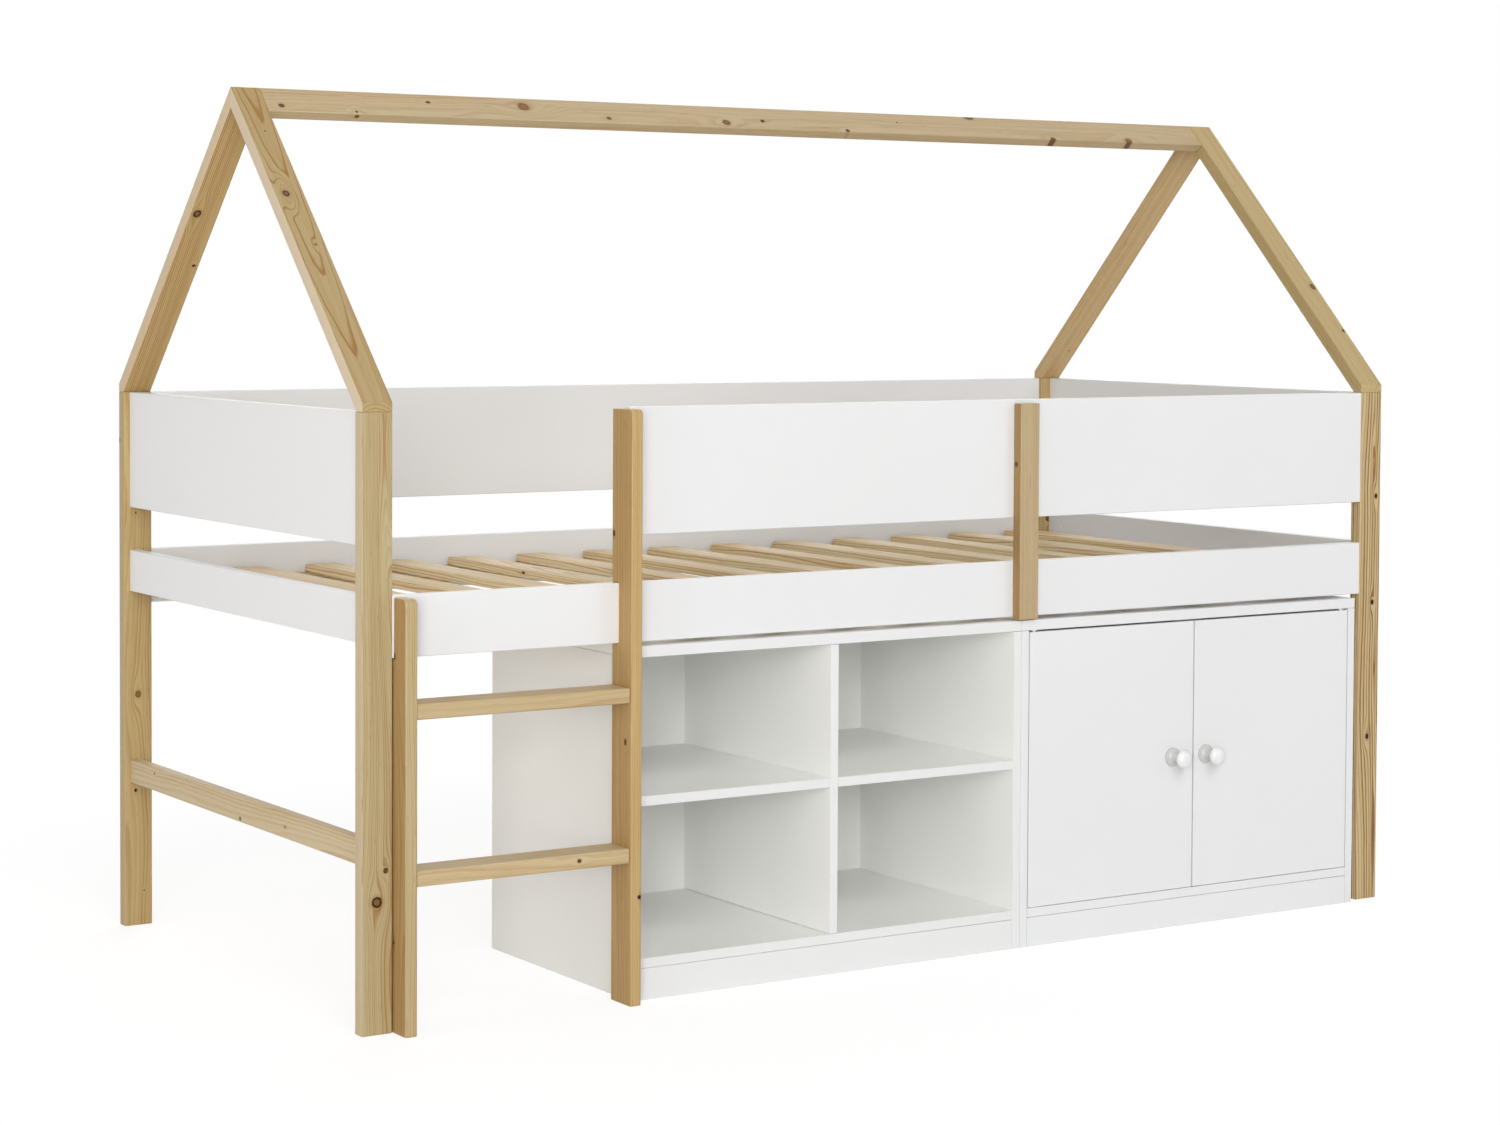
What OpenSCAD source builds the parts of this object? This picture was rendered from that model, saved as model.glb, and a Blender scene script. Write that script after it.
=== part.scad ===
// Cabin bed: a mid-height single bed with a house-shaped roof frame, a two-rung ladder, a guard
// rail on all four sides, and two storage units below: open shelves and a two-door cupboard.
// Millimetres. x runs along the bed, y from the ladder side to the back, z up from the floor.
// Pieces are placed from the bed's front left corner, and on_bed() then centres the whole.

/* [Bed frame] */
// Length of the bed over its posts
bed_l = 2060; // [1960:5:2300]
// Depth of the bed over its posts
bed_w = 968; // [900:2:1300]
// Height of the corner posts
post_h = 932; // [890:2:1100]
// Width of a post, along the bed
post_w = 50; // [46:1:70]
// Thickness of a post, across the bed
post_t = 24; // [22:1:40]
// Thickness of the painted boards
board_t = 18; // [16:0.5:21]
// Height of the guard boards
guard_h = 200; // [170:2:220]
// Open gap between a guard board and the rail below it
guard_gap = 74; // [60:1:90]
// Height of the long side rails
rail_h = 94; // [80:1:110]
// Height of the short end rails
end_rail_h = 72; // [60:1:90]
// Step from a post's outer face to the end boards and stretchers
end_inset = 10; // [2:1:16]
// Height of a stretcher bar
stretcher_h = 40; // [36:1:60]
// Thickness of a stretcher bar
stretcher_t = 20; // [18:1:26]
// Height of a stretcher's top edge above the floor
stretcher_top = 292; // [120:2:480]

/* [Roof frame] */
// Height of the ridge above the floor
ridge_h = 1437; // [1350:2:1600]
// Depth of a rafter, square to its slope
rafter_t = 24; // [20:1:26]
// Upright cut at a rafter's foot
heel_h = 14; // [8:1:24]
// Width of the ridge beam, down the front slope
ridge_w = 54; // [44:1:80]
// Thickness of the ridge beam
ridge_t = 18; // [14:1:22]
// Gap between the ridge beam and each gable
ridge_gap = 0.4; // [0.2:0.1:1]

/* [Ladder and guard post] */
// Distance from the bed's left end to the ladder
ladder_x = 52; // [50:1:120]
// Clear width between the ladder's stiles
ladder_clear = 368; // [300:2:420]
// Width of a stile, seen from the front
stile_w = 20; // [18:1:30]
// Depth of a stile, from front to back
stile_d = 60; // [52:1:80]
// How far a stile stands proud of the side rail
stile_proud = 40; // [30:1:48]
// How far the long stile's top is below the post tops
long_drop = 2; // [0:1:20]
// How far the short stile's top is below the side rail's top edge
short_drop = 3; // [1:1:20]
// Radius of the rounded front corner at a stile's top
stile_round = 10; // [4:1:20]
// Height of a rung
rung_h = 24; // [20:1:30]
// Height of the lower rung's top face above the floor
rung_first = 248; // [200:2:290]
// Distance from one rung to the next
rung_pitch = 250; // [200:2:290]
// Step from a stile's front to a rung's front
rung_setback = 2; // [0:0.5:8]
// Distance from the middle of the front guard board to the guard post's middle, to the right
guard_post_shift = -3; // [-80:1:80]
// Width of the guard post
guard_post_w = 40; // [30:1:60]
// Thickness of the guard post
guard_post_t = 20; // [19:1:30]
// How far the guard post's top is below the guard board's top
guard_post_drop = 6; // [2:1:20]
// How far the guard post reaches below the side rail
guard_post_tail = 4; // [0:0.5:5]

/* [Slats] */
// Width of a slat
slat_w = 60; // [50:1:80]
// Thickness of a slat
slat_t = 15; // [12:1:20]
// Distance from one slat to the next
slat_pitch = 143; // [110:1:160]
// Space between the left end rail and the first slat
slat_start = 28; // [26:1:60]
// Depth of the slats' top below the side rail's top edge
slat_drop = 39; // [24:1:45]
// Gap between a slat's end and the side rail
slat_end_gap = 8; // [6:0.5:12]
// Height of a batten under the slats
batten_h = 30; // [26:1:32]
// Thickness of a batten
batten_t = 26; // [24:1:40]

/* [Storage units] */
// Depth of a storage unit
unit_d = 464; // [360:2:700]
// How far the units' front stands proud of the posts
unit_proud = 10; // [0:1:20]
// Gap between the cupboard and the right post
unit_post_gap = 20; // [5:1:40]
// Gap between the side rail and the units' tops
unit_head_gap = 6; // [5.5:0.5:20]
// Thickness of the units' panels
panel_t = 16; // [15:0.5:19]
// Thickness of the units' top panels
top_t = 18; // [16:0.5:22]
// Height of the plinth
plinth_h = 50; // [40:1:80]
// Thickness of the back panels
back_t = 3; // [2.5:0.5:6]
// Step from a unit's rear edge to its back panel
back_inset = 8; // [4:0.5:20]
// Height of the open unit's shelves, at their top face
shelf_top_z = 322; // [200:2:420]
// Height of the cupboard's loose shelf, at its top face
loose_shelf_z = 300; // [160:2:440]
// Step from the doors' inner face to the loose shelf
loose_shelf_back = 40; // [30:1:120]

/* [Doors] */
// Thickness of a door
door_t = 16; // [14:0.5:19]
// Gap at a door's hinge side
door_side_gap = 2; // [2:0.1:4]
// Gap above the doors
door_top_gap = 3; // [2:0.1:5]
// Gap below the doors
door_foot_gap = 2; // [2:0.1:5]
// Gap where the two doors meet
door_meet_gap = 3; // [2:0.1:6]
// Distance from a door's edge to its pivot
pivot_in = 12; // [12:0.5:16]
// Distance from a door's front face to its pivot
pivot_back = 6; // [6:0.25:7]
// Diameter of a pivot pin
pin_d = 5; // [4:0.5:6]
// Height of the knobs' centre above the floor
knob_z = 300; // [150:2:480]
// Distance from the meeting edge to the left knob
knob_left_in = 46; // [25:1:80]
// Distance from the meeting edge to the right knob
knob_right_in = 27; // [25:1:80]
// Diameter of a knob's foot
knob_foot_d = 33; // [26:1:40]
// Diameter of a knob's ball
knob_ball_d = 27; // [22:1:36]
// Reach of a knob in front of its door
knob_reach = 42; // [38:1:50]

/* [Hidden] */

$fn = 64;

pine = [0.80, 0.67, 0.46];
white = [0.93, 0.93, 0.92];
steel = [0.72, 0.72, 0.74];
zinc = [0.62, 0.62, 0.60];
beech = [0.85, 0.72, 0.53];

// Overlap that lets a cutting shape pass cleanly through a face
pass = 1;
// Radial clearance of a pressed or glued fitting in its hole
fit = 0.1;
// Radial clearance of a turning pin in its bush
running = 0.05;

// Heights
guard_z = post_h - guard_h;
rail_top = guard_z - guard_gap;
rail_z = rail_top - rail_h;
end_rail_z = rail_top - end_rail_h;
slat_z = rail_top - slat_drop - slat_t;
batten_z = slat_z - batten_h;

// Lengthways places
post_right_x = bed_l - post_w;
end_board_left_x = end_inset;
end_board_right_x = bed_l - end_inset - board_t;
stile_short_x = ladder_x;
rung_x = stile_short_x + stile_w;
stile_long_x = rung_x + ladder_clear;
guard_x = stile_long_x + stile_w;
guard_post_mid_x = (guard_x + post_right_x) / 2 + guard_post_shift;

// Crossways places
post_back_y = bed_w - post_t;
back_board_y = bed_w - board_t;
front_reach = max(stile_proud, unit_proud + knob_reach);
bed_front = front_reach - (bed_w + front_reach) / 2;

// Slats
inner_l = bed_l - 2 * (end_inset + board_t);
slat_first_x = end_inset + board_t + slat_start;
slat_count = floor((inner_l - slat_start - slat_w) / slat_pitch) + 1;
slat_y = board_t + slat_end_gap;
slat_l = bed_w - 2 * slat_y;
batten_gap = 1;
batten_x = post_w + batten_gap;
batten_l = bed_l - 2 * batten_x;

// Roof
roof_angle = atan((ridge_h - post_h - heel_h) / (bed_w / 2));
mitre_h = rafter_t / cos(roof_angle);
rafter_foot = bed_w / 2 - (ridge_h - mitre_h - post_h) / tan(roof_angle);

// Storage units
unit_x = guard_x;
unit_w = (post_right_x - unit_post_gap - unit_x) / 2;
cupboard_x = unit_x + unit_w;
unit_y = -unit_proud;
unit_h = rail_z - unit_head_gap;
side_h = unit_h - top_t;
deck_z = plinth_h + panel_t;
inner_w = unit_w - 2 * panel_t;
inner_d = unit_d - back_inset - back_t;
inner_h = side_h - deck_z;
groove_depth = 5;
divider_x = unit_x + (unit_w - panel_t) / 2;
bay_w = (inner_w - panel_t) / 2;
loose_shelf_gap = 1;

// Doors
door_w = (inner_w - 2 * door_side_gap - door_meet_gap) / 2;
door_z = deck_z + door_foot_gap;
door_h = inner_h - door_foot_gap - door_top_gap;
door_left_x = cupboard_x + panel_t + door_side_gap;
door_right_x = door_left_x + door_w + door_meet_gap;
pivot_left_x = door_left_x + pivot_in;
pivot_right_x = door_right_x + door_w - pivot_in;
pivot_y = unit_y + pivot_back;
knob_left_x = door_left_x + door_w - knob_left_in;
knob_right_x = door_right_x + knob_right_in;
pin_in_door = 14;
pin_in_bush = 7;
bush_depth = 9;
bush_wall = 1.5;
flange_t = 1.7;
flange_wall = 1.5;
knob_foot_t = 3;
knob_neck_d = 16;
knob_flare = 7;

// Magnetic catch
catch_w = 60;
catch_d = 16;
catch_h = 14;
catch_gap = 0.3;
strike_w = 28;
strike_t = 1;
strike_edge = 4;

// Fixings
dowel_d = 8;
dowel_l = 30;
bolt_d = 6;
bolt_in_post = 11;
cam_d = 15;
cam_depth = 12.5;
cam_back = 34;
cam_throat = 3;
screw_d = 4;
screw_l = 35;
screw_head_d = 8;
screw_head_t = 2.5;
knob_screw_l = 26;
shelf_pin_d = 5;
shelf_pin_in = 8;
shelf_pin_out = 8;
shelf_pin_rest = 0.05;
panel_dowel_in = 10;
top_dowel_in = 11;

// ---------------------------------------------------------------- places and helpers

// Moves a piece from the bed's own corner to the frame centred on the whole part
module on_bed() {
    translate([-bed_l / 2, bed_front, 0])
        children();
}

// A square-edged board
module board(at, size) {
    translate(at)
        cube(size);
}

// A profile drawn in y and z, extruded along x
module side_profile(x, w) {
    translate([x, 0, 0])
        rotate([90, 0, 90])
            linear_extrude(w)
                children();
}

// A rod along x, y or z, centred on a point
module rod(at, dir, d, l) {
    translate(at)
        rotate(dir == "x" ? [0, 90, 0] : dir == "y" ? [90, 0, 0] : [0, 0, 0])
            cylinder(d = d, h = l, center = true);
}

// ---------------------------------------------------------------- board joints
// A board is [axis, start, end, low edge across, low z, thickness, height, inner side, cams].
// A joint is [place, turn, flip, height, cams, thickness], one for each end of a board, where
// local x runs from the joint into the board and local y towards the board's inner face.

function board_joints(b) =
    let (mid = b[3] + b[5] / 2, zc = b[4] + b[6] / 2, in = b[7])
    b[0] == "x"
        ? [[[b[1], mid, zc], 0, in < 0, b[6], b[8], b[5]],
           [[b[2], mid, zc], 180, in > 0, b[6], b[8], b[5]]]
        : [[[mid, b[1], zc], 90, in > 0, b[6], b[8], b[5]],
           [[mid, b[2], zc], -90, in < 0, b[6], b[8], b[5]]];

function rail_board(y, inner) =
    ["x", post_w, post_right_x, y, rail_z, board_t, rail_h, inner, 1];
function end_board(x, z, t, h, inner, cams) =
    ["y", post_t, post_back_y, x, z, t, h, inner, cams];

RAIL_FRONT = rail_board(0, 1);
RAIL_BACK = rail_board(back_board_y, -1);
GUARD_FRONT = ["x", guard_x, post_right_x, 0, guard_z, board_t, guard_h, 1, 2];
GUARD_BACK = ["x", post_w, post_right_x, back_board_y, guard_z, board_t, guard_h, -1, 2];
END_RAIL_LEFT = end_board(end_board_left_x, end_rail_z, board_t, end_rail_h, 1, 1);
END_RAIL_RIGHT = end_board(end_board_right_x, end_rail_z, board_t, end_rail_h, -1, 1);
GUARD_LEFT = end_board(end_board_left_x, guard_z, board_t, guard_h, 1, 2);
GUARD_RIGHT = end_board(end_board_right_x, guard_z, board_t, guard_h, -1, 2);
STRETCHER_Z = stretcher_top - stretcher_h;
STRETCHER_LEFT = end_board(end_inset, STRETCHER_Z, stretcher_t, stretcher_h, 1, 1);
STRETCHER_RIGHT =
    end_board(bed_l - end_inset - stretcher_t, STRETCHER_Z, stretcher_t, stretcher_h, -1, 1);
BOARDS = [RAIL_FRONT, RAIL_BACK, GUARD_FRONT, GUARD_BACK, END_RAIL_LEFT, END_RAIL_RIGHT,
          GUARD_LEFT, GUARD_RIGHT, STRETCHER_LEFT, STRETCHER_RIGHT];
JOINTS = [for (b = BOARDS) each board_joints(b)];

// Heights of the cam bolts and of the dowels in a joint, from its middle, as shares of its height:
// dowels either side of one bolt, or two bolts either side of the dowels
cam_spread = 0.3;
dowel_spread_outside = 0.25;
dowel_spread_inside = 0.12;
function cam_zs(j) = j[4] == 2 ? [-cam_spread * j[3], cam_spread * j[3]] : [0];
function dowel_zs(j) =
    let (spread = j[4] == 2 ? dowel_spread_inside : dowel_spread_outside)
    [-spread * j[3], spread * j[3]];

module at_joint(j) {
    translate(j[0])
        rotate([0, 0, j[1]])
            mirror([0, j[2] ? 1 : 0, 0])
                children();
}

module joint_dowels(j, extra = 0) {
    for (z = dowel_zs(j))
        rod([0, 0, z], "x", dowel_d + 2 * extra, dowel_l + 2 * extra);
}

module joint_bolts(j, extra = 0) {
    for (z = cam_zs(j))
        rod([(cam_back - bolt_in_post) / 2, 0, z], "x", bolt_d + 2 * extra,
            cam_back + bolt_in_post + 2 * extra);
}

module joint_cams(j, extra = 0) {
    for (z = cam_zs(j))
        translate([cam_back, j[5] / 2 + extra, z])
            rotate([90, 0, 0])
                cylinder(d = cam_d + 2 * extra, h = cam_depth + 2 * extra);
}

// The cam's round body, with the hole that takes the bolt's end
module joint_cam_bodies(j) {
    difference() {
        joint_cams(j);
        for (z = cam_zs(j))
            rod([cam_back / 2 + cam_throat, 0, z], "x", bolt_d + 4 * fit, cam_back);
    }
}

module joint_holes(j) {
    at_joint(j) {
        joint_dowels(j, fit);
        joint_bolts(j, fit);
        joint_cams(j, fit);
    }
}

// Joints whose place lies on the footprint of a post or stile
function joints_on(x, y, w, t) =
    [for (j = JOINTS)
        if (j[0][0] >= x && j[0][0] <= x + w && j[0][1] >= y && j[0][1] <= y + t) j];

module fixed_board(b) {
    size = b[0] == "x" ? [b[2] - b[1], b[5], b[6]] : [b[5], b[2] - b[1], b[6]];
    at = b[0] == "x" ? [b[1], b[3], b[4]] : [b[3], b[1], b[4]];
    difference() {
        board(at, size);
        for (j = board_joints(b))
            joint_holes(j);
    }
}

// ---------------------------------------------------------------- dowels away from the boards
// A dowel is [centre, direction].

// Feet of the four rafters, two dowels each, up from the post tops
rafter_dowel_y = rafter_foot * 0.55;
quarters = [0.25, 0.75];
FOOT_DOWELS = [
    for (x = [0, post_right_x])
        for (dx = quarters * post_w)
            for (y = [rafter_dowel_y, bed_w - rafter_dowel_y])
                [[x + dx, y, post_h], "z"]];

// Mitre of each gable, kept in its outer half
apex_dowel_z = ridge_h - (mitre_h + tan(roof_angle) * dowel_l / 2) / 2;
APEX_DOWELS = [
    for (dx = [post_w * 0.24, post_w * 0.5])
        for (x = [dx, bed_l - dx])
            [[x, bed_w / 2, apex_dowel_z], "y"]];

// Ends of the ridge beam, measured down and in from the ridge line
function ridge_point(down, in) =
    [bed_w / 2 - down * cos(roof_angle) + in * sin(roof_angle),
     ridge_h - down * sin(roof_angle) - in * cos(roof_angle)];
RIDGE_DOWELS = [
    for (x = [post_w, post_right_x])
        for (down = [ridge_w / 3, ridge_w * 0.75])
            let (p = ridge_point(down, ridge_t / 2))
                [[x, p[0], p[1]], "x"]];

// Ends of the rungs, two dowels each
function rung_z(i) = rung_first - rung_h + i * rung_pitch;
RUNG_DOWELS = [
    for (i = [0, 1])
        for (x = [rung_x, stile_long_x])
            for (f = quarters)
                [[x, rung_setback - stile_proud + f * (stile_d - rung_setback),
                  rung_z(i) + rung_h / 2], "x"]];

// Joints inside a storage unit. Places along y are measured from the unit's front.
dowel_front = 60;
dowel_rear = unit_d - dowel_front;
dowel_stagger = 40;
side_shift = dowel_l / 2 - panel_dowel_in;
top_shift = dowel_l / 2 - top_dowel_in;
function carcass_dowels(x0) = [
    for (y = [dowel_front, dowel_rear])
        for (right = [0, 1])
            each [
                [[x0 + (right ? unit_w - panel_t / 2 : panel_t / 2), unit_y + y,
                  side_h - top_shift], "z"],
                [[x0 + (right ? unit_w - panel_t - side_shift : panel_t + side_shift), unit_y + y,
                  plinth_h + panel_t / 2], "x"]],
    for (f = quarters)
        [[x0 + f * unit_w, unit_y + panel_t / 2, plinth_h - side_shift], "z"]];
DIVIDER_DOWELS = [
    for (y = [dowel_front, dowel_rear])
        each [
            [[divider_x + panel_t / 2, unit_y + y, side_h - top_shift], "z"],
            [[divider_x + panel_t / 2, unit_y + y, deck_z + side_shift], "z"]]];

// The two fixed shelves share the divider, so their dowels miss each other along y
function shelf_dowels(x, stagger) = [
    for (y = [dowel_front + stagger, dowel_rear - stagger])
        for (end = [x + side_shift, x + bay_w - side_shift])
            [[end, unit_y + y, shelf_top_z - panel_t / 2], "x"]];
SHELF_LEFT_DOWELS = shelf_dowels(unit_x + panel_t, dowel_stagger);
SHELF_RIGHT_DOWELS = shelf_dowels(divider_x + panel_t, 2 * dowel_stagger);
SHELF_UNIT_DOWELS = concat(carcass_dowels(unit_x), DIVIDER_DOWELS,
                           SHELF_LEFT_DOWELS, SHELF_RIGHT_DOWELS);
CUPBOARD_DOWELS = carcass_dowels(cupboard_x);
ROOF_DOWELS = concat(FOOT_DOWELS, APEX_DOWELS, RIDGE_DOWELS);

module dowel_row(list, extra = 0) {
    for (d = list)
        rod(d[0], d[1], dowel_d + 2 * extra, dowel_l + 2 * extra);
}

// ---------------------------------------------------------------- screws
// A screw is [head's outer face, direction it is driven in], in one size throughout.

module screw_shape(length, extra = 0) {
    translate([0, 0, -length - extra])
        cylinder(d = screw_d + 2 * extra, h = length + 2 * extra);
    translate([0, 0, -screw_head_t - extra])
        cylinder(d1 = screw_d + 2 * extra, d2 = screw_head_d + 2 * extra,
                 h = screw_head_t + extra);
}

module screws(list, extra = 0) {
    for (s = list)
        translate(s[0])
            rotate(s[1] == "down" ? [0, 0, 0] : s[1] == "forward" ? [-90, 0, 0] : [90, 0, 0])
                screw_shape(screw_l, extra);
}

rail_screw_drops = [13, 36];
function stile_screws(x) = [
    for (drop = rail_screw_drops)
        [[x + stile_w / 2, board_t, rail_top - drop], "forward"]];
STILE_SCREWS = concat(stile_screws(stile_short_x), stile_screws(stile_long_x));
GUARD_POST_SCREWS = [
    for (z = concat(rail_top - rail_screw_drops[0], [for (f = quarters) guard_z + f * guard_h]))
        [[guard_post_mid_x, board_t, z], "forward"]];

function slat_x(i) = slat_first_x + i * slat_pitch;
slat_screw_in = 9;
slat_front_screw_y = slat_y + slat_screw_in;
slat_back_screw_y = bed_w - slat_front_screw_y;
SLAT_SCREWS = [
    for (i = [0 : slat_count - 1])
        for (y = [slat_front_screw_y, slat_back_screw_y])
            [[slat_x(i) + slat_w / 2, y, slat_z + slat_t], "down"]];

// Battens are screwed to the rails in the spaces between slats
batten_screw_step = 3;
batten_inner_y = board_t + batten_t;
function batten_screws(y, way) = [
    for (i = [0 : batten_screw_step : slat_count - 2])
        [[slat_x(i) + (slat_w + slat_pitch) / 2, y, batten_z + batten_h / 2], way]];
BATTEN_FRONT_SCREWS = batten_screws(batten_inner_y, "forward");
BATTEN_BACK_SCREWS = batten_screws(bed_w - batten_inner_y, "back");

// ---------------------------------------------------------------- bed frame

module post(x, y) {
    difference() {
        board([x, y, 0], [post_w, post_t, post_h]);
        for (j = joints_on(x, y, post_w, post_t))
            joint_holes(j);
        dowel_row(FOOT_DOWELS, fit);
    }
}

module post_front_left() {
    color(pine) on_bed() post(0, 0);
}

module post_front_right() {
    color(pine) on_bed() post(post_right_x, 0);
}

module post_back_left() {
    color(pine) on_bed() post(0, post_back_y);
}

module post_back_right() {
    color(pine) on_bed() post(post_right_x, post_back_y);
}

module side_rail_front() {
    color(white) on_bed()
        difference() {
            fixed_board(RAIL_FRONT);
            screws(STILE_SCREWS, fit);
            screws(GUARD_POST_SCREWS, fit);
            screws(BATTEN_FRONT_SCREWS, fit);
        }
}

module side_rail_back() {
    color(white) on_bed()
        difference() {
            fixed_board(RAIL_BACK);
            screws(BATTEN_BACK_SCREWS, fit);
        }
}

module end_rail_left() {
    color(white) on_bed() fixed_board(END_RAIL_LEFT);
}

module end_rail_right() {
    color(white) on_bed() fixed_board(END_RAIL_RIGHT);
}

module guard_board_front() {
    color(white) on_bed()
        difference() {
            fixed_board(GUARD_FRONT);
            screws(GUARD_POST_SCREWS, fit);
        }
}

module guard_board_back() {
    color(white) on_bed() fixed_board(GUARD_BACK);
}

module guard_board_left() {
    color(white) on_bed() fixed_board(GUARD_LEFT);
}

module guard_board_right() {
    color(white) on_bed() fixed_board(GUARD_RIGHT);
}

module stretcher_left() {
    color(pine) on_bed() fixed_board(STRETCHER_LEFT);
}

module stretcher_right() {
    color(pine) on_bed() fixed_board(STRETCHER_RIGHT);
}

// ---------------------------------------------------------------- roof frame

// Side view of the front rafter: foot, upright heel, slope up to the mitre at the ridge
module rafter_outline() {
    polygon([
        [0, post_h],
        [0, post_h + heel_h],
        [bed_w / 2, ridge_h],
        [bed_w / 2, ridge_h - mitre_h],
        [rafter_foot, post_h]]);
}

module rafter(x, back) {
    difference() {
        side_profile(x, post_w)
            translate([back ? bed_w : 0, 0])
                mirror([back ? 1 : 0, 0])
                    rafter_outline();
        dowel_row(ROOF_DOWELS, fit);
    }
}

module rafter_front_left() {
    color(pine) on_bed() rafter(0, false);
}

module rafter_front_right() {
    color(pine) on_bed() rafter(post_right_x, false);
}

module rafter_back_left() {
    color(pine) on_bed() rafter(0, true);
}

module rafter_back_right() {
    color(pine) on_bed() rafter(post_right_x, true);
}

// The beam lies flat in the front slope, its top edge along the ridge
module ridge_beam() {
    color(pine) on_bed()
        difference() {
            side_profile(post_w + ridge_gap, bed_l - 2 * (post_w + ridge_gap))
                polygon([ridge_point(0, 0), ridge_point(ridge_w, 0),
                         ridge_point(ridge_w, ridge_t), ridge_point(0, ridge_t)]);
            dowel_row(RIDGE_DOWELS, fit);
        }
}

// ---------------------------------------------------------------- ladder and guard post

// Takes a rounded bite out of an outline's upper left corner, at the origin
module corner_bite(r) {
    difference() {
        translate([-pass, -r])
            square([r + pass, r + pass]);
        translate([r, -r])
            circle(r);
    }
}

// Side view of a stile, with the rebate that clasps the side rail
module stile_outline(top, rebate_top) {
    difference() {
        translate([-stile_proud, 0])
            square([stile_d, top]);
        translate([0, rail_z - fit])
            square([stile_d, rebate_top - rail_z + fit]);
        translate([-stile_proud, top])
            corner_bite(stile_round);
    }
}

module stile(x, top, rebate_top) {
    difference() {
        side_profile(x, stile_w)
            stile_outline(top, rebate_top);
        dowel_row(RUNG_DOWELS, fit);
        screws(STILE_SCREWS, fit);
    }
}

module ladder_stile_short() {
    color(pine) on_bed()
        stile(stile_short_x, rail_top - short_drop, rail_top + pass);
}

module ladder_stile_long() {
    color(pine) on_bed()
        difference() {
            stile(stile_long_x, post_h - long_drop, rail_top + fit);
            for (j = joints_on(stile_long_x, 0, stile_w, stile_d))
                joint_holes(j);
        }
}

module rung(i) {
    difference() {
        board([rung_x, rung_setback - stile_proud, rung_z(i)],
              [ladder_clear, stile_d - rung_setback, rung_h]);
        dowel_row(RUNG_DOWELS, fit);
    }
}

module ladder_rung_lower() {
    color(pine) on_bed() rung(0);
}

module ladder_rung_upper() {
    color(pine) on_bed() rung(1);
}

module guard_post() {
    color(pine) on_bed()
        difference() {
            board([guard_post_mid_x - guard_post_w / 2, -guard_post_t, rail_z - guard_post_tail],
                  [guard_post_w, guard_post_t,
                   post_h - guard_post_drop - rail_z + guard_post_tail]);
            screws(GUARD_POST_SCREWS, fit);
        }
}

// ---------------------------------------------------------------- slats

module slats() {
    color(pine) on_bed()
        difference() {
            for (i = [0 : slat_count - 1])
                board([slat_x(i), slat_y, slat_z], [slat_w, slat_l, slat_t]);
            screws(SLAT_SCREWS, fit);
        }
}

module batten(y) {
    difference() {
        board([batten_x, y, batten_z], [batten_l, batten_t, batten_h]);
        screws(SLAT_SCREWS, fit);
        screws(BATTEN_FRONT_SCREWS, fit);
        screws(BATTEN_BACK_SCREWS, fit);
    }
}

module slat_batten_front() {
    color(pine) on_bed() batten(board_t);
}

module slat_batten_back() {
    color(pine) on_bed() batten(back_board_y - batten_t);
}

// ---------------------------------------------------------------- storage unit carcasses

// The groove that holds a back panel, cut into all the panels round it
module back_groove(x0) {
    depth = groove_depth + fit;
    board([x0 + panel_t - depth, unit_y + inner_d, deck_z - depth],
          [inner_w + 2 * depth, back_t + fit, inner_h + 2 * depth]);
}

module carcass_side(x0, right) {
    difference() {
        board([x0 + (right ? unit_w - panel_t : 0), unit_y, 0], [panel_t, unit_d, side_h]);
        back_groove(x0);
        dowel_row(carcass_dowels(x0), fit);
        children();
    }
}

module carcass_top(x0) {
    difference() {
        board([x0, unit_y, side_h], [unit_w, unit_d, top_t]);
        back_groove(x0);
        dowel_row(carcass_dowels(x0), fit);
        children();
    }
}

module carcass_bottom(x0) {
    difference() {
        board([x0 + panel_t, unit_y, plinth_h], [inner_w, unit_d, panel_t]);
        back_groove(x0);
        dowel_row(carcass_dowels(x0), fit);
        children();
    }
}

module carcass_plinth(x0) {
    difference() {
        board([x0 + panel_t, unit_y, 0], [inner_w, panel_t, plinth_h]);
        dowel_row(carcass_dowels(x0), fit);
    }
}

module carcass_back(x0) {
    board([x0 + panel_t - groove_depth, unit_y + inner_d, deck_z - groove_depth],
          [inner_w + 2 * groove_depth, back_t, inner_h + 2 * groove_depth]);
}

// ---------------------------------------------------------------- open shelf unit

module shelf_unit_top() {
    color(white) on_bed()
        carcass_top(unit_x)
            dowel_row(DIVIDER_DOWELS, fit);
}

module shelf_unit_side_left() {
    color(white) on_bed()
        carcass_side(unit_x, false)
            dowel_row(SHELF_LEFT_DOWELS, fit);
}

module shelf_unit_side_right() {
    color(white) on_bed()
        carcass_side(unit_x, true)
            dowel_row(SHELF_RIGHT_DOWELS, fit);
}

module shelf_unit_bottom() {
    color(white) on_bed()
        carcass_bottom(unit_x)
            dowel_row(DIVIDER_DOWELS, fit);
}

module shelf_unit_plinth() {
    color(white) on_bed() carcass_plinth(unit_x);
}

module shelf_unit_back() {
    color(white) on_bed() carcass_back(unit_x);
}

module shelf_unit_divider() {
    color(white) on_bed()
        difference() {
            board([divider_x, unit_y, deck_z], [panel_t, inner_d, inner_h]);
            dowel_row(DIVIDER_DOWELS, fit);
            dowel_row(SHELF_LEFT_DOWELS, fit);
            dowel_row(SHELF_RIGHT_DOWELS, fit);
        }
}

module fixed_shelf(x, dowels) {
    difference() {
        board([x, unit_y, shelf_top_z - panel_t], [bay_w, inner_d, panel_t]);
        dowel_row(dowels, fit);
    }
}

module shelf_left() {
    color(white) on_bed() fixed_shelf(unit_x + panel_t, SHELF_LEFT_DOWELS);
}

module shelf_right() {
    color(white) on_bed() fixed_shelf(divider_x + panel_t, SHELF_RIGHT_DOWELS);
}

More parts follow.
